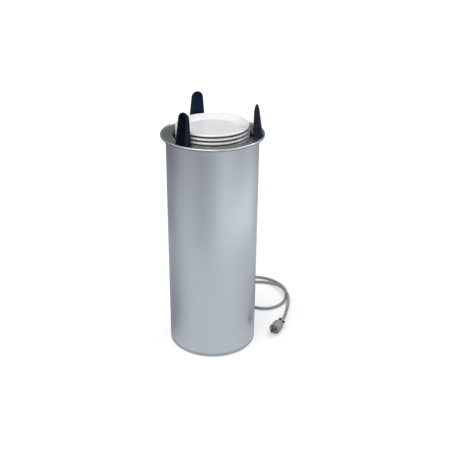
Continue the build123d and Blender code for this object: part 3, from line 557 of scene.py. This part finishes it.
class Solid:
    """Vertices and faces of one piece, gathered in millimetres."""

    def __init__(self):
        self.points = []
        self.faces = []

    def add(self, points, faces, place=None):
        start = len(self.points)
        for point in points:
            vector = Vector(point)
            self.points.append(place @ vector if place else vector)
        self.faces += [tuple(index + start for index in face) for face in faces]
        return self

    def piece(self, name, material, body, slot, place=None, sharp=38.0):
        """A cleaned and shaded object with its material, which rides on its body."""
        mesh = bpy.data.meshes.new(name)
        shift = place or Matrix.Identity(4)
        mesh.from_pydata([(shift @ point) * MM for point in self.points], [], self.faces)
        clean = bmesh.new()
        clean.from_mesh(mesh)
        bmesh.ops.remove_doubles(clean, verts=clean.verts, dist=1e-7)
        bmesh.ops.dissolve_degenerate(clean, edges=clean.edges, dist=1e-8)
        bmesh.ops.recalc_face_normals(clean, faces=clean.faces)
        clean.to_mesh(mesh)
        clean.free()
        mesh.shade_smooth()
        mesh.set_sharp_from_angle(angle=math.radians(sharp))
        piece = linked(name, mesh)
        mesh.materials.append(material)
        if body:
            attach(piece, body)
        return piece


def ring_faces(rings, count, closed=False):
    """Quads between successive rings of the same number of points, with caps unless closed."""
    faces = []
    for ring in range(rings if closed else rings - 1):
        low = ring * count
        high = (ring + 1) % rings * count
        for index in range(count):
            after = (index + 1) % count
            faces.append((low + index, low + after, high + after, high + index))
    if not closed:
        faces.append(tuple(reversed(range(count))))
        faces.append(tuple((rings - 1) * count + index for index in range(count)))
    return faces


def softened(corners, radii, steps):
    """A closed path whose corners are rounded; radii has each corner's radius, 0 for sharp."""
    path = []
    total = len(corners)
    for index, (corner, radius) in enumerate(zip(corners, radii)):
        here = Vector(corner)
        if not radius:
            path.append(tuple(here))
            continue
        before = (Vector(corners[index - 1]) - here).normalized()
        after = (Vector(corners[(index + 1) % total]) - here).normalized()
        half = before.angle(after) / 2
        reach = radius / math.tan(half)
        centre = here + (before + after).normalized() * (radius / math.sin(half))
        start = here + before * reach - centre
        end = here + after * reach - centre
        swing = start.angle(end)
        for step in range(steps + 1):
            share = step / steps
            a = math.sin((1 - share) * swing) / math.sin(swing)
            b = math.sin(share * swing) / math.sin(swing)
            path.append(tuple(centre + start * a + end * b))
    return path


def revolved(profile, segments):
    """A solid of revolution from a closed (radius, height) profile."""
    points = []
    for segment in range(segments):
        turn = 2 * math.pi * segment / segments
        for radius, height in profile:
            points.append((radius * math.cos(turn), radius * math.sin(turn), height))
    return points, ring_faces(segments, len(profile), closed=True)


def tube(path, radius, sides):
    """A round bar along a list of points."""
    path = [Vector(point) for point in path]
    pairs = zip([path[0], *path], [*path[1:], path[-1]])
    tangents = [(after - before).normalized() for before, after in pairs]
    side = tangents[0].orthogonal().normalized()
    points = []
    for point, tangent in zip(path, tangents):
        side = (side - tangent * side.dot(tangent)).normalized()
        other = tangent.cross(side)
        for index in range(sides):
            turn = 2 * math.pi * index / sides
            points.append(point + (side * math.cos(turn) + other * math.sin(turn)) * radius)
    return points, ring_faces(len(path), sides)


def circle(radius, count):
    return [
        (radius * math.cos(2 * math.pi * step / count), radius * math.sin(2 * math.pi * step / count))
        for step in range(count)
    ]


def push(mesh, faces, shift):
    """Extrude faces of a bmesh and move the new ones."""
    extruded = bmesh.ops.extrude_face_region(mesh, geom=faces)
    moved = [item for item in extruded["geom"] if isinstance(item, bmesh.types.BMVert)]
    bmesh.ops.translate(mesh, verts=moved, vec=shift)


def taken_from(mesh):
    """Points and faces of a bmesh in an order that is the same each run; the bmesh is freed."""
    verts = sorted(mesh.verts, key=lambda vert: tuple(vert.co))
    numbers = {vert: number for number, vert in enumerate(verts)}
    points = [tuple(vert.co) for vert in verts]
    faces = []
    for face in mesh.faces:
        corners = [numbers[vert] for vert in face.verts]
        first = corners.index(min(corners))
        faces.append(tuple(corners[first:] + corners[:first]))
    mesh.free()
    return points, sorted(faces)


def turned_about_z(degrees):
    return Matrix.Rotation(math.radians(degrees), 4, "Z")


def set_camera():
    """The photograph's view."""
    data = bpy.data.cameras.new("camera")
    camera = linked("camera", data)
    camera.location = (0.0, -1.9922, 1.3381)
    camera.rotation_euler = (math.radians(64.402), 0.0, 0.0)
    data.lens = 58.87
    data.shift_x = 0.0277
    bpy.context.scene.camera = camera


def plug_place():
    """From the plug's own frame, +Z along its axis from the lead, to the row frame, in mm."""
    turn = math.radians(PLUG_TURN)
    along = Vector((math.cos(turn), math.sin(turn), 0))
    level = Vector((-math.sin(turn), math.cos(turn), 0))
    up = along.cross(level)
    place = Matrix((level, up, along)).transposed().to_4x4()
    place.translation = Vector(CORD_ROUTE[-1])
    return place


def make_cord(material):
    """The free lead on its route."""
    data = bpy.data.curves.new("mains_lead", "CURVE")
    data.dimensions = "3D"
    data.resolution_u = 10
    data.bevel_depth = CORD_DIAMETER / 2 * MM
    data.bevel_resolution = 5
    data.use_fill_caps = True
    spline = data.splines.new("NURBS")
    spline.points.add(len(CORD_ROUTE) - 1)
    for point, place in zip(spline.points, CORD_ROUTE):
        point.co = (*(Vector(place) * MM), 1.0)
    spline.order_u = 3
    spline.use_endpoint_u = True
    lead = linked("mains_lead", data)
    data.materials.append(material)
    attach(lead, "housing")
    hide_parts("cord")
    return lead


def make_shell(material):
    """Rolled casing with a locked seam down the back."""
    inner = SHELL_RADIUS - SHELL_WALL
    corners = [
        (inner, SHELL_LOW),
        (SHELL_RADIUS, SHELL_LOW),
        (SHELL_RADIUS, SHELL_HIGH),
        (inner, SHELL_HIGH),
    ]
    solid = Solid().add(*revolved(softened(corners, [0.3, 0.45, 0.3, 0.3], 4), 256))
    seam_turn = 68.0
    seam = [(-5.5, -0.6), (5.5, -0.6), (5.5, 0.05), (4.6, 0.55), (-4.6, 0.55), (-5.5, 0.05)]
    rings = []
    for height in (SHELL_LOW + 1.5, SHELL_HIGH - 1.0):
        rings += [(SHELL_RADIUS + out, across, height) for across, out in seam]
    solid.add(rings, ring_faces(2, len(seam)), turned_about_z(seam_turn))
    piece = solid.piece("casing", material, "housing", "shell_steel", sharp=30.0)
    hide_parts("outer_shell")


def make_ring(material):
    """Flange with its turned rim, deck and collar."""
    low = DECK_TOP - RING_THICKNESS
    corners = [
        (FLANGE_RADIUS, RIM_LOW),
        (FLANGE_RADIUS, RIM_TOP),
        (FLANGE_RADIUS - 2.0, RIM_TOP),
        (DECK_RADIUS, DECK_TOP),
        (OPENING_RADIUS, DECK_TOP),
        (OPENING_RADIUS, COLLAR_LOW),
        (OPENING_RADIUS + RING_THICKNESS, COLLAR_LOW),
        (OPENING_RADIUS + RING_THICKNESS, low),
        (DECK_RADIUS + 0.45, low),
        (FLANGE_RADIUS - 1.75, RIM_TOP - RING_THICKNESS),
        (FLANGE_RADIUS - RING_THICKNESS, RIM_TOP - RING_THICKNESS),
        (FLANGE_RADIUS - RING_THICKNESS, RIM_LOW),
    ]
    radii = [0.5, 1.5, 0.9, 2.5, 2.6, 0.5, 0.5, 1.3, 2.0, 0.0, 0.0, 0.5]
    solid = Solid().add(*revolved(softened(corners, radii, 6), 256))
    piece = solid.piece("flange", material, "housing", "ring_steel", sharp=45.0)
    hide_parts("top_ring")


def guide_section(depth, width):
    """Outline with a flattish inner face and a crowned outer one."""
    points = []
    for index in range(GUIDE_POINTS):
        turn = 2 * math.pi * index / GUIDE_POINTS
        across, out = math.sin(turn), math.cos(turn)
        power = 2.0 / (2.5 if out > 0 else 3.6)
        x = math.copysign(abs(out) ** power, out)
        y = math.copysign(abs(across) ** power, across)
        points.append((x * depth / 2, y * width / 2))
    return points


def guide_levels(shoulder, tip_radius):
    """Heights up a guide, each with how far the foot flares out there."""
    flare_top = 3.5
    straight_steps = 18
    levels = [(0.0, 1.3), (0.5, 1.1), (1.2, 0.6), (2.2, 0.2), (flare_top, 0.0)]
    for step in range(1, straight_steps + 1):
        levels.append((flare_top + (shoulder - flare_top) * step / straight_steps, 0.0))
    for climb in (8, 16, 24, 32, 40, 48, 56, 63, 70, 76, 81, 85, 88):
        levels.append((shoulder + tip_radius * math.sin(math.radians(climb)), 0.0))
    return levels


def make_guides(material):
    """Three tongue-shaped plate guides."""
    tip_radius = GUIDE_TIP[1] / 2
    shoulder = GUIDE_LENGTH - tip_radius
    levels = guide_levels(shoulder, tip_radius)
    points = []
    for height, flare in levels:
        share = height / GUIDE_LENGTH
        taper = min(1.0, height / shoulder)
        width = GUIDE_FOOT[1] + (GUIDE_TIP[1] - GUIDE_FOOT[1]) * taper
        depth = GUIDE_FOOT[0] + (GUIDE_TIP[0] - GUIDE_FOOT[0]) * share
        middle = GUIDE_INNER + GUIDE_LEAN * share + depth / 2
        over = max(0.0, height - shoulder) / tip_radius
        width *= math.sqrt(1 - over**2)
        dome = max(0.0, height - (GUIDE_LENGTH - GUIDE_DOME)) / GUIDE_DOME
        depth *= math.sqrt(1 - dome**2)
        for out, across in guide_section(depth + flare, width + 2 * flare):
            points.append((middle + out, across, DECK_TOP + height))
    faces = ring_faces(len(levels), GUIDE_POINTS)
    for name, turn in GUIDE_TURNS.items():
        solid = Solid().add(points, faces, turned_about_z(turn))
        piece = solid.piece(name + "_tongue", material, "housing", "guide_plastic", sharp=50.0)
        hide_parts(name)


def plate_profile(foot):
    """Cross-section of a plate from its middle outwards, with its foot at the given height."""
    corners = [
        (0.0, 5.0),
        (57.0, 5.0),
        (57.0, 0.0),
        (62.0, 0.0),
        (63.0, 4.0),
        (76.0, 5.0),
        (96.25, 15.2),
        (PLATE_RADIUS, 16.0),
        (PLATE_RADIUS, 22.0),
        (98.25, 22.0),
        (92.25, 19.8),
        (78.0, 13.7),
        (73.0, 11.1),
        (0.0, 11.1),
    ]
    radii = [0.0, 1.2, 1.6, 1.6, 1.2, 8.0, 9.0, 2.7, 2.85, 4.0, 12.0, 7.0, 8.0, 0.0]
    return [(radius, height + foot) for radius, height in softened(corners, radii, 7)]


def make_plates():
    """Three loose plates and the stack under them."""
    for number in range(1, LOOSE_PLATES + 1):
        foot = TOP_PLATE_FOOT - (number - 1) * PLATE_PITCH
        glaze = plate_glaze(f"plate_glaze_{number}", foot)
        solid = Solid().add(*revolved(plate_profile(foot), 160))
        piece = solid.piece(
            f"china_plate_{number}", glaze, f"plate_{number}", "plate_glaze", sharp=60.0
        )
        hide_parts(f"plate_{number}")
    stack = Solid()
    for number in range(LOOSE_PLATES, PLATE_COUNT):
        foot = TOP_PLATE_FOOT - number * PLATE_PITCH
        stack.add(*revolved(plate_profile(foot), 128))
    lowest = TOP_PLATE_FOOT - (PLATE_COUNT - 1) * PLATE_PITCH
    glaze = plate_glaze("plate_glaze_stack", lowest)
    piece = stack.piece("china_stack", glaze, "carrier", "plate_glaze", sharp=60.0)
    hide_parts("plate_stack")


def spring_eye(side, middle, start):
    """One turn of wire round the given height, from a start angle in degrees."""
    path = []
    for step in range(EYE_STEPS + 1):
        turn = math.radians(start - 360 * step / EYE_STEPS)
        out, up = SPRING_EYE * math.sin(turn), SPRING_EYE * math.cos(turn)
        path.append((SPRING_RADIUS + out, side, middle + up))
    return path


def spring_path(side):
    """One extension spring's wire: an eye, the coil and another eye."""
    radius = (SPRING_COIL - SPRING_WIRE) / 2
    hook = 1.5
    high = SPRING_TOP - 2 * SPRING_EYE - hook
    low = SPRING_BOTTOM + 2 * SPRING_EYE + hook
    total = SPRING_TURNS * SPRING_STEPS
    path = spring_eye(side, SPRING_BOTTOM + SPRING_EYE, 300)
    for step in range(total + 1):
        turn = 2 * math.pi * step / SPRING_STEPS
        grow = min(1.0, step / SPRING_STEPS, (total - step) / SPRING_STEPS)
        reach = radius * (0.55 + 0.45 * grow)
        out, across = reach * math.cos(turn), reach * math.sin(turn)
        path.append((SPRING_RADIUS + out, side + across, low + (high - low) * step / total))
    return path + spring_eye(side, SPRING_TOP - SPRING_EYE, 120)


def make_springs(material):
    """Pairs of wound springs that stretch between the flange and the carrier."""
    for number, turn in enumerate(RAIL_TURNS, 1):
        solid = Solid()
        for side in (-SPRING_SIDE, SPRING_SIDE):
            points, faces = tube(spring_path(side), SPRING_WIRE / 2, 6)
            solid.add(points, faces, turned_about_z(turn))
        piece = solid.piece(f"coil_springs_{number}", material, None, "spring_steel", sharp=70.0)
        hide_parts(f"springs_{number}")
        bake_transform(piece)


def make_strain_relief(material):
    """Gland: a flange with wrench flats and a ribbed, tapering nose."""
    start = SHELL_RADIUS
    nose = start + 5.0
    inside = 128.0
    bore = CORD_DIAMETER / 2 + 0.1
    thread_radius = 8.0
    corners = [(bore, inside), (thread_radius, inside), (thread_radius, nose)]
    radii = [0.0, 0.4, 0.0]
    ribs = 6
    length = GLAND_TIP - nose
    for index in range(ribs):
        low = nose + length * index / ribs
        high = nose + length * (index + 1) / ribs
        radius = 9.0 - 2.6 * (index + 0.5) / ribs
        corners += [
            (radius, low),
            (radius, low + (high - low) * 0.62),
            (radius - 1.0, low + (high - low) * 0.70),
            (radius - 1.0, high),
        ]
        radii += [0.5, 0.5, 0.3, 0.3]
    corners[-1] = (corners[-1][0], GLAND_TIP)
    radii[-1] = 0.4
    corners.append((bore, GLAND_TIP))
    radii.append(0.4)
    solid = Solid().add(*revolved(softened(corners, radii, 3), 64))
    corner_reach, flat_reach = 12.0, 11.2
    outline = []
    for x, y in circle(1.0, 96):
        flat = abs((math.degrees(math.atan2(y, x)) + 30.0) % 60.0 - 30.0)
        reach = min(corner_reach, flat_reach / math.cos(math.radians(flat)))
        outline.append((reach * x, reach * y))
    levels = [(start - 0.05, 0.95), (start + 0.4, 1.0), (start + 4.2, 1.0), (start + 5.0, 0.93)]
    rings = [(x * share, y * share, level) for level, share in levels for x, y in outline]
    solid.add(rings, ring_faces(len(levels), len(outline)))
    place = Matrix.Translation((0, 0, GLAND_HEIGHT)) @ Matrix.Rotation(math.radians(-90), 4, "X")
    piece = solid.piece("cord_gland", material, "housing", "gland_plastic", place)
    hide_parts("strain_relief")


def grip_depth(turn, height):
    """How far the plug's finger grips go in at an angle and height on its barrel."""
    share = (height - (PLUG_START + GRIP_START)) / GRIP_LENGTH
    if not 0.0 < share < 1.0:
        return 0.0
    return GRIP_DEPTH * math.sin(math.pi * share) ** 0.5 * max(0.0, math.cos(GRIP_COUNT * turn)) ** 2


def make_plug_body(material, place):
    """Plug body with finger grips along its barrel."""
    start, end = PLUG_START, PLUG_END
    recess = end - FACE_SUNK - FACE_THICKNESS
    corners = [
        (0.0, start),
        (PLUG_NECK - 0.6, start),
        (PLUG_NECK, start + 1.0),
        (PLUG_SHOULDER, start + 5.0),
        (PLUG_BARREL, start + 12.0),
        (PLUG_BARREL, end - 10.0),
        (PLUG_RADIUS, end - 8.5),
        (PLUG_RADIUS, end),
        (PLUG_FACE, end),
        (PLUG_FACE, recess),
        (0.0, recess),
    ]
    profile = softened(corners, [0, 0.5, 0.8, 5.0, 5.0, 0.8, 0.8, 1.6, 0.6, 0, 0], 5)
    barrel_low = PLUG_SHOULDER + 1
    steps = 16
    dense = []
    for before, after in zip(profile, profile[1:] + profile[:1]):
        dense.append(before)
        if abs(after[1] - before[1]) > 10 and before[0] > barrel_low:
            for step in range(1, steps):
                dense.append(tuple(a + (b - a) * step / steps for a, b in zip(before, after)))
    points, faces = revolved(dense, 128)
    shaped = []
    for x, y, z in points:
        radius = math.hypot(x, y)
        depth = grip_depth(math.atan2(y, x), z) if radius > barrel_low else 0.0
        share = 1 - depth / max(radius, 1.0)
        shaped.append((x * share, y * share, z))
    piece = Solid().add(shaped, faces).piece("plug_shell", material, "housing", "plug_shell", place)
    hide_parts("plug_body")
    return piece


def make_plug_face(material, place, level):
    """Insert that holds the blades, with a low boss round each blade and the pin."""
    corners = [
        (0.0, level - FACE_THICKNESS),
        (PLUG_FACE - 0.1, level - FACE_THICKNESS),
        (PLUG_FACE - 0.1, level - 0.6),
        (PLUG_FACE - 1.6, level - 0.6),
        (PLUG_FACE - 2.0, level),
        (0.0, level),
    ]
    solid = Solid().add(*revolved(softened(corners, [0, 0, 0.3, 0.2, 0.5, 0], 3), 96))
    low, high = level - 0.5, level + 0.5
    for x in (-BLADE_SIDE, BLADE_SIDE):
        solid.add(*block((x - 2.1, x + 2.1), (-4.6, 4.6), (low, high), 0.4))
    boss = softened([(0, low), (4.0, low), (4.0, high), (0, high)], [0, 0, 0.4, 0], 3)
    solid.add(*revolved(boss, 40), Matrix.Translation((0, PIN_SIDE, 0)))
    piece = solid.piece("plug_insert", material, "housing", "plug_insert", place)
    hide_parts("plug_face")
    return piece


def make_blades(material, place, level):
    """Two flat blades and a round earth pin."""
    solid = Solid()
    for x in (-BLADE_SIDE, BLADE_SIDE):
        solid.add(*blade(x, level))
    corners = [
        (0.0, level - BLADE_ROOT),
        (PIN_RADIUS, level - BLADE_ROOT),
        (PIN_RADIUS, level + PIN_OUT - 2.5),
        (1.1, level + PIN_OUT),
        (0.0, level + PIN_OUT),
    ]
    pin = softened(corners, [0, 0, 1.2, 0.8, 0], 4)
    solid.add(*revolved(pin, 40), Matrix.Translation((0, PIN_SIDE, 0)))
    piece = solid.piece("plug_prongs", material, "housing", "blade_brass", place)
    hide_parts("plug_blades")
    return piece


def make_clamp(material, place):
    """The two saddles that hold the lead."""
    solid = Solid()
    for side in (-1, 1):
        solid.add(*saddle(side))
    piece = solid.piece("plug_saddles", material, "housing", "plug_shell", place)
    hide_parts("plug_clamp")
    return piece


def make_clamp_screws(material, place):
    """Two screws through the saddles, each with a head at both ends."""
    solid = Solid()
    reach = CLAMP_HALF[1] + 0.2
    for x in (-CLAMP_SCREW[0], CLAMP_SCREW[0]):
        for side in (-1, 1):
            solid.add(*slotted_head(*CLAMP_HEAD), clamp_screw_place(x, side))
        shank = [(x, -reach, CLAMP_SCREW[1]), (x, reach, CLAMP_SCREW[1])]
        solid.add(*tube(shank, CLAMP_SCREW_RADIUS, 20))
    piece = solid.piece("plug_fixings", material, "housing", "clamp_screw_black", place)
    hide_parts("plug_clamp_screws")
    return piece


def make_plug(shell, insert, blades, screws):
    """The plug's five pieces at the far end of the lead."""
    place = plug_place()
    rolled = place @ turned_about_z(PLUG_ROLL)
    clamped = place @ turned_about_z(CLAMP_ROLL)
    face_level = PLUG_END - FACE_SUNK
    return [
        make_plug_body(shell, place),
        make_plug_face(insert, rolled, face_level),
        make_blades(blades, rolled, face_level),
        make_clamp(shell, clamped),
        make_clamp_screws(screws, clamped),
    ]


def block(x, y, z, round_off):
    """A box with softened vertical edges."""
    corners = [(x[0], y[0]), (x[1], y[0]), (x[1], y[1]), (x[0], y[1])]
    outline = softened(corners, [round_off] * 4, 3)
    points = [(px, py, height) for height in z for px, py in outline]
    return points, ring_faces(2, len(outline))


def blade(x, level):
    """A flat blade with a hole near its chamfered tip."""
    half = BLADE_HALF
    low, high = level - BLADE_ROOT, level + BLADE_OUT
    side_top, tip = high - 1.6, half - 1.4
    corners = [(-half, low), (half, low), (half, side_top), (tip, high), (-tip, high), (-half, side_top)]
    outline = softened(corners, [0, 0, 0.6, 0.6, 0.6, 0.6], 3)
    hole_middle = high - 5.0
    hole = [(y, hole_middle + z) for y, z in circle(BLADE_HOLE, 24)]
    mesh = bmesh.new()
    loops = []
    for ring in (outline, hole):
        verts = [mesh.verts.new((x - BLADE_THICKNESS / 2, y, z)) for y, z in ring]
        loops += [mesh.edges.new(pair) for pair in zip(verts, verts[1:] + verts[:1])]
    bmesh.ops.triangle_fill(mesh, use_beauty=True, edges=loops)
    push(mesh, mesh.faces[:], (BLADE_THICKNESS, 0, 0))
    return taken_from(mesh)


def saddle(side):
    """Half of the cord clamp: a bridge over the lead, a little lower next to the plug."""
    bore = CORD_DIAMETER / 2 + 0.1
    half, outer = CLAMP_HALF
    inner = 0.7
    chamfer = 1.4
    steps = 16
    outline = [(-half, inner), (-bore, inner)]
    for step in range(1, steps):
        turn = math.pi - math.pi * step / steps
        if bore * math.sin(turn) > inner:
            outline.append((bore * math.cos(turn), bore * math.sin(turn)))
    outline += [(bore, inner), (half, inner), (half, outer - chamfer), (half - chamfer, outer)]
    outline += [(chamfer - half, outer), (-half, outer - chamfer)]
    levels = [(CLAMP_START, 0.5), (CLAMP_START + 0.5, 0.0), (CLAMP_START + 2.2, 0.0)]
    levels += [(PLUG_START - 2.4, 0.0), (PLUG_START - 2.2, 0.6), (PLUG_START, 0.6)]
    points = []
    for level, sunk in levels:
        for x, y in outline:
            points.append((x, side * (y - sunk if y > bore else y), level))
    return points, ring_faces(len(levels), len(outline))


def clamp_screw_place(x, side):
    """Place of a screw head on a saddle, drawn with +Z out of the saddle."""
    turn = Matrix.Rotation(math.radians(-90 * side), 4, "X")
    return Matrix.Translation((x, side * CLAMP_HALF[1], CLAMP_SCREW[1])) @ turn


def slotted_head(radius, height):
    """A round screw head with a straight slot across its top."""
    outline = circle(radius, 40)
    levels = [(0.0, 1.0), (height * 0.75, 1.0), (height * 0.93, 0.93), (height, 0.80)]
    mesh = bmesh.new()
    verts = [mesh.verts.new((x * share, y * share, z)) for z, share in levels for x, y in outline]
    for face in ring_faces(len(levels), len(outline)):
        mesh.faces.new([verts[index] for index in face])
    for offset in (-HEAD_SLOT / 2, HEAD_SLOT / 2):
        bmesh.ops.bisect_plane(
            mesh,
            geom=mesh.verts[:] + mesh.edges[:] + mesh.faces[:],
            plane_co=(0, offset, 0),
            plane_no=(0, 1, 0),
        )
    over_slot = [
        face
        for face in mesh.faces
        if abs(face.calc_center_median().y) < HEAD_SLOT / 2
        and face.calc_center_median().z > height * 0.99
    ]
    push(mesh, over_slot, (0, 0, -height * 0.45))
    bmesh.ops.delete(mesh, geom=over_slot, context="FACES_ONLY")
    return taken_from(mesh)


def dress_frame(finishes):
    """Give each shown CAD node its procedural finish."""
    slots = {part["node"]: part["material_slot"] for part in frame["record"]["subparts"]}
    for node, piece in frame["nodes"].items():
        material = finishes[slots[node]]
        piece.data.materials.clear()
        piece.data.materials.append(material)


def floor_material():
    """Pale floor: white to the camera outside the object's shadow; to reflections a painted lit sweep,
    darker beyond it, with painted shadow near the casing's foot.
    """
    s = Shader("studio_floor")
    s.tree.nodes.remove(s.bsdf)
    x, y = s.split()[:2]
    turn = s.math("ARCTAN2", x, s.math("MULTIPLY", y, -1.0))
    around = s.math("ADD", s.math("DIVIDE", turn, 2 * math.pi), 0.5)
    radius = s.radius()
    # Painted reflection: what glossy rays see is an emitted sweep, lit near the object and darker beyond.
    far = s.ramp(
        around,
        [
            (0.00, 0.26),
            (0.16, 0.32),
            (0.30, 0.57),
            (0.35, 0.58),
            (0.44, 0.47),
            (0.48, 0.53),
            (0.57, 0.83),
            (0.71, 0.91),
            (0.78, 0.87),
            (0.86, 0.56),
            (1.00, 0.26),
        ],
        "EASE",
    )
    near = s.ramp(
        around,
        [(0.0, 0.42), (0.18, 0.41), (0.35, 0.65), (0.62, 0.67), (0.78, 0.60), (1.0, 0.42)],
        "EASE",
    )
    # Painted shadow in the reflected floor, near the casing's foot.
    painted_foot_shadow = s.ramp(
        around,
        [
            (0.00, 0.78),
            (0.16, 0.80),
            (0.24, 0.68),
            (0.31, 0.82),
            (0.38, 1.00),
            (0.58, 0.99),
            (0.68, 0.93),
            (0.80, 0.76),
            (0.88, 0.50),
            (1.00, 0.78),
        ],
    )
    near = s.mix(s.spread(radius, 1.0, 0.0, 0.30, 0.60), near, painted_foot_shadow, "MULTIPLY")
    depths = [(0.0, 0.36), (0.24, 0.36), (0.34, 0.20), (0.60, 0.18), (0.68, 0.42)]
    depth = s.ramp(around, [*depths, (0.76, 0.36), (0.84, 0.28)])
    fade = s.math("MULTIPLY", depth, s.spread(radius, 0.0, 1.0, 1.75, 2.15))
    faded = s.mix(fade, far, (0.0, 0.0, 0.0))
    reflected = s.mix(s.spread(radius, 0.0, 1.0, 0.80, 1.08), near, faded)
    path = s.add("ShaderNodeLightPath").outputs
    plain = s.add("ShaderNodeBsdfDiffuse")
    s.put(plain.inputs["Color"], (0.80, 0.80, 0.80))
    mirrored = s.light("ShaderNodeEmission", reflected, 1.2)
    glow = s.light("ShaderNodeEmission", (1.0, 1.0, 1.0), s.spread(radius, 0.31, 0.62, 0.9, 2.7))
    seen = s.filled(s.add("ShaderNodeAddShader"), plain.outputs[0], glow)
    direct = s.choice(path["Is Camera Ray"], plain.outputs[0], seen)
    shiny = s.math("MAXIMUM", path["Is Glossy Ray"], path["Is Transmission Ray"])
    final = s.choice(shiny, direct, mirrored)
    s.put(s.tree.nodes["Material Output"].inputs["Surface"], final)
    return s.material


def make_floor():
    mesh = bpy.data.meshes.new("floor")
    size = 12.0
    corners = [(-size, -size, 0), (size, -size, 0), (size, size, 0), (-size, size, 0)]
    mesh.from_pydata(corners, [], [(0, 1, 2, 3)])
    floor = linked("floor", mesh)
    mesh.materials.append(floor_material())


def make_world():
    """White to the camera, soft grey studio walls in reflections, plain light on surfaces."""
    world = bpy.data.worlds.new("studio")
    bpy.context.scene.world = world
    world.use_nodes = True
    world.node_tree.nodes.clear()
    nodes = Nodes(world.node_tree, "Generated")
    path = nodes.add("ShaderNodeLightPath").outputs
    white = nodes.light("ShaderNodeBackground", (1.0, 1.0, 1.0), 1.0)
    plain = nodes.light("ShaderNodeBackground", (0.97, 0.985, 1.0), 0.55)
    height = nodes.spread(nodes.split()[2], 0.0, 1.0, -0.1, 1.0)
    levels = [(0.0, 0.60), (0.12, 0.245), (0.56, 0.205), (0.72, 0.85), (1.0, 1.0)]
    stops = [(position, (level * 0.96, level * 0.98, level)) for position, level in levels]
    walls = nodes.light("ShaderNodeBackground", nodes.ramp(height, stops), 1.0)
    indirect = nodes.choice(path["Is Glossy Ray"], plain, walls)
    clear = nodes.math("MAXIMUM", path["Is Camera Ray"], path["Is Transmission Ray"])
    final = nodes.choice(clear, indirect, white)
    nodes.put(nodes.add("ShaderNodeOutputWorld").inputs["Surface"], final)


def area_light(name, place, target, size, power):
    data = bpy.data.lights.new(name, "AREA")
    data.shape = "RECTANGLE"
    data.size, data.size_y = size
    data.energy = power
    lamp = linked(name, data)
    lamp.location = place
    aim = Vector(target) - Vector(place)
    lamp.rotation_euler = aim.to_track_quat("-Z", "Y").to_euler()


def make_lights():
    """A broad overhead box a little to the left, one at the back right and a soft front box."""
    area_light("overhead", (-0.9, -0.7, 2.6), (0.0, 0.0, 0.3), (2.0, 1.6), 28.0)
    area_light("back", (1.4, 1.2, 2.8), (0.1, 0.1, 0.2), (1.2, 1.2), 24.0)
    area_light("front", (-0.3, -2.5, 1.5), (0.0, 0.0, 0.6), (1.6, 1.0), 12.0)


scene = bpy.context.scene
scene.view_settings.view_transform = "Standard"
set_camera()
make_world()
make_lights()
make_floor()

finishes = {
    "ring_steel": ring_steel(),
    "shell_steel": shell_steel(),
    "pan_steel": pan_steel(),
    "zinc_steel": zinc_steel(),
    "spring_steel": bright_steel("spring_steel", (0.30, 0.30, 0.31), (0.42, 0.42, 0.43), 0.32),
    "fastener_steel": bright_steel("fastener_steel", (0.50, 0.50, 0.48), (0.62, 0.62, 0.60)),
    "element_sheath": element_sheath(),
    "baffle_aluminium": aluminium(),
    "guide_plastic": guide_plastic(),
    "plate_glaze": plate_glaze("plate_glaze", 0.0),
    "nylon": plastic("nylon", (0.66, 0.65, 0.59), (0.74, 0.73, 0.68), 0.40),
    "bumper_rubber": plastic("bumper_rubber", (0.018, 0.018, 0.018), (0.03, 0.03, 0.03), 0.62),
    "control_plastic": plastic("control_plastic", (0.030, 0.026, 0.024), (0.045, 0.04, 0.036), 0.4),
    "copper_line": copper(),
    "block_plastic": plastic("block_plastic", (0.60, 0.57, 0.49), (0.68, 0.65, 0.58), 0.5),
    "lead_sleeve": sleeving(),
    "gland_plastic": plastic("gland_plastic", (0.022, 0.022, 0.024), (0.034, 0.034, 0.037), 0.42),
    "cord_jacket": cord_jacket(),
    "plug_shell": plastic("plug_shell", (0.26, 0.29, 0.32), (0.32, 0.35, 0.38), 0.42),
    "plug_insert": plastic("plug_insert", (0.24, 0.235, 0.20), (0.30, 0.295, 0.255), 0.42),
    "blade_brass": brass(),
    "clamp_screw_black": bright_steel(
        "clamp_screw_black", (0.012, 0.012, 0.013), (0.03, 0.03, 0.032), 0.35
    ),
}
dress_frame(finishes)

make_shell(finishes["shell_steel"])
make_ring(finishes["ring_steel"])
make_guides(finishes["guide_plastic"])
make_plates()
make_springs(finishes["spring_steel"])
make_strain_relief(finishes["gland_plastic"])
plug_pieces = make_plug(
    finishes["plug_shell"],
    finishes["plug_insert"],
    finishes["blade_brass"],
    finishes["clamp_screw_black"],
)
lead = make_cord(finishes["cord_jacket"])
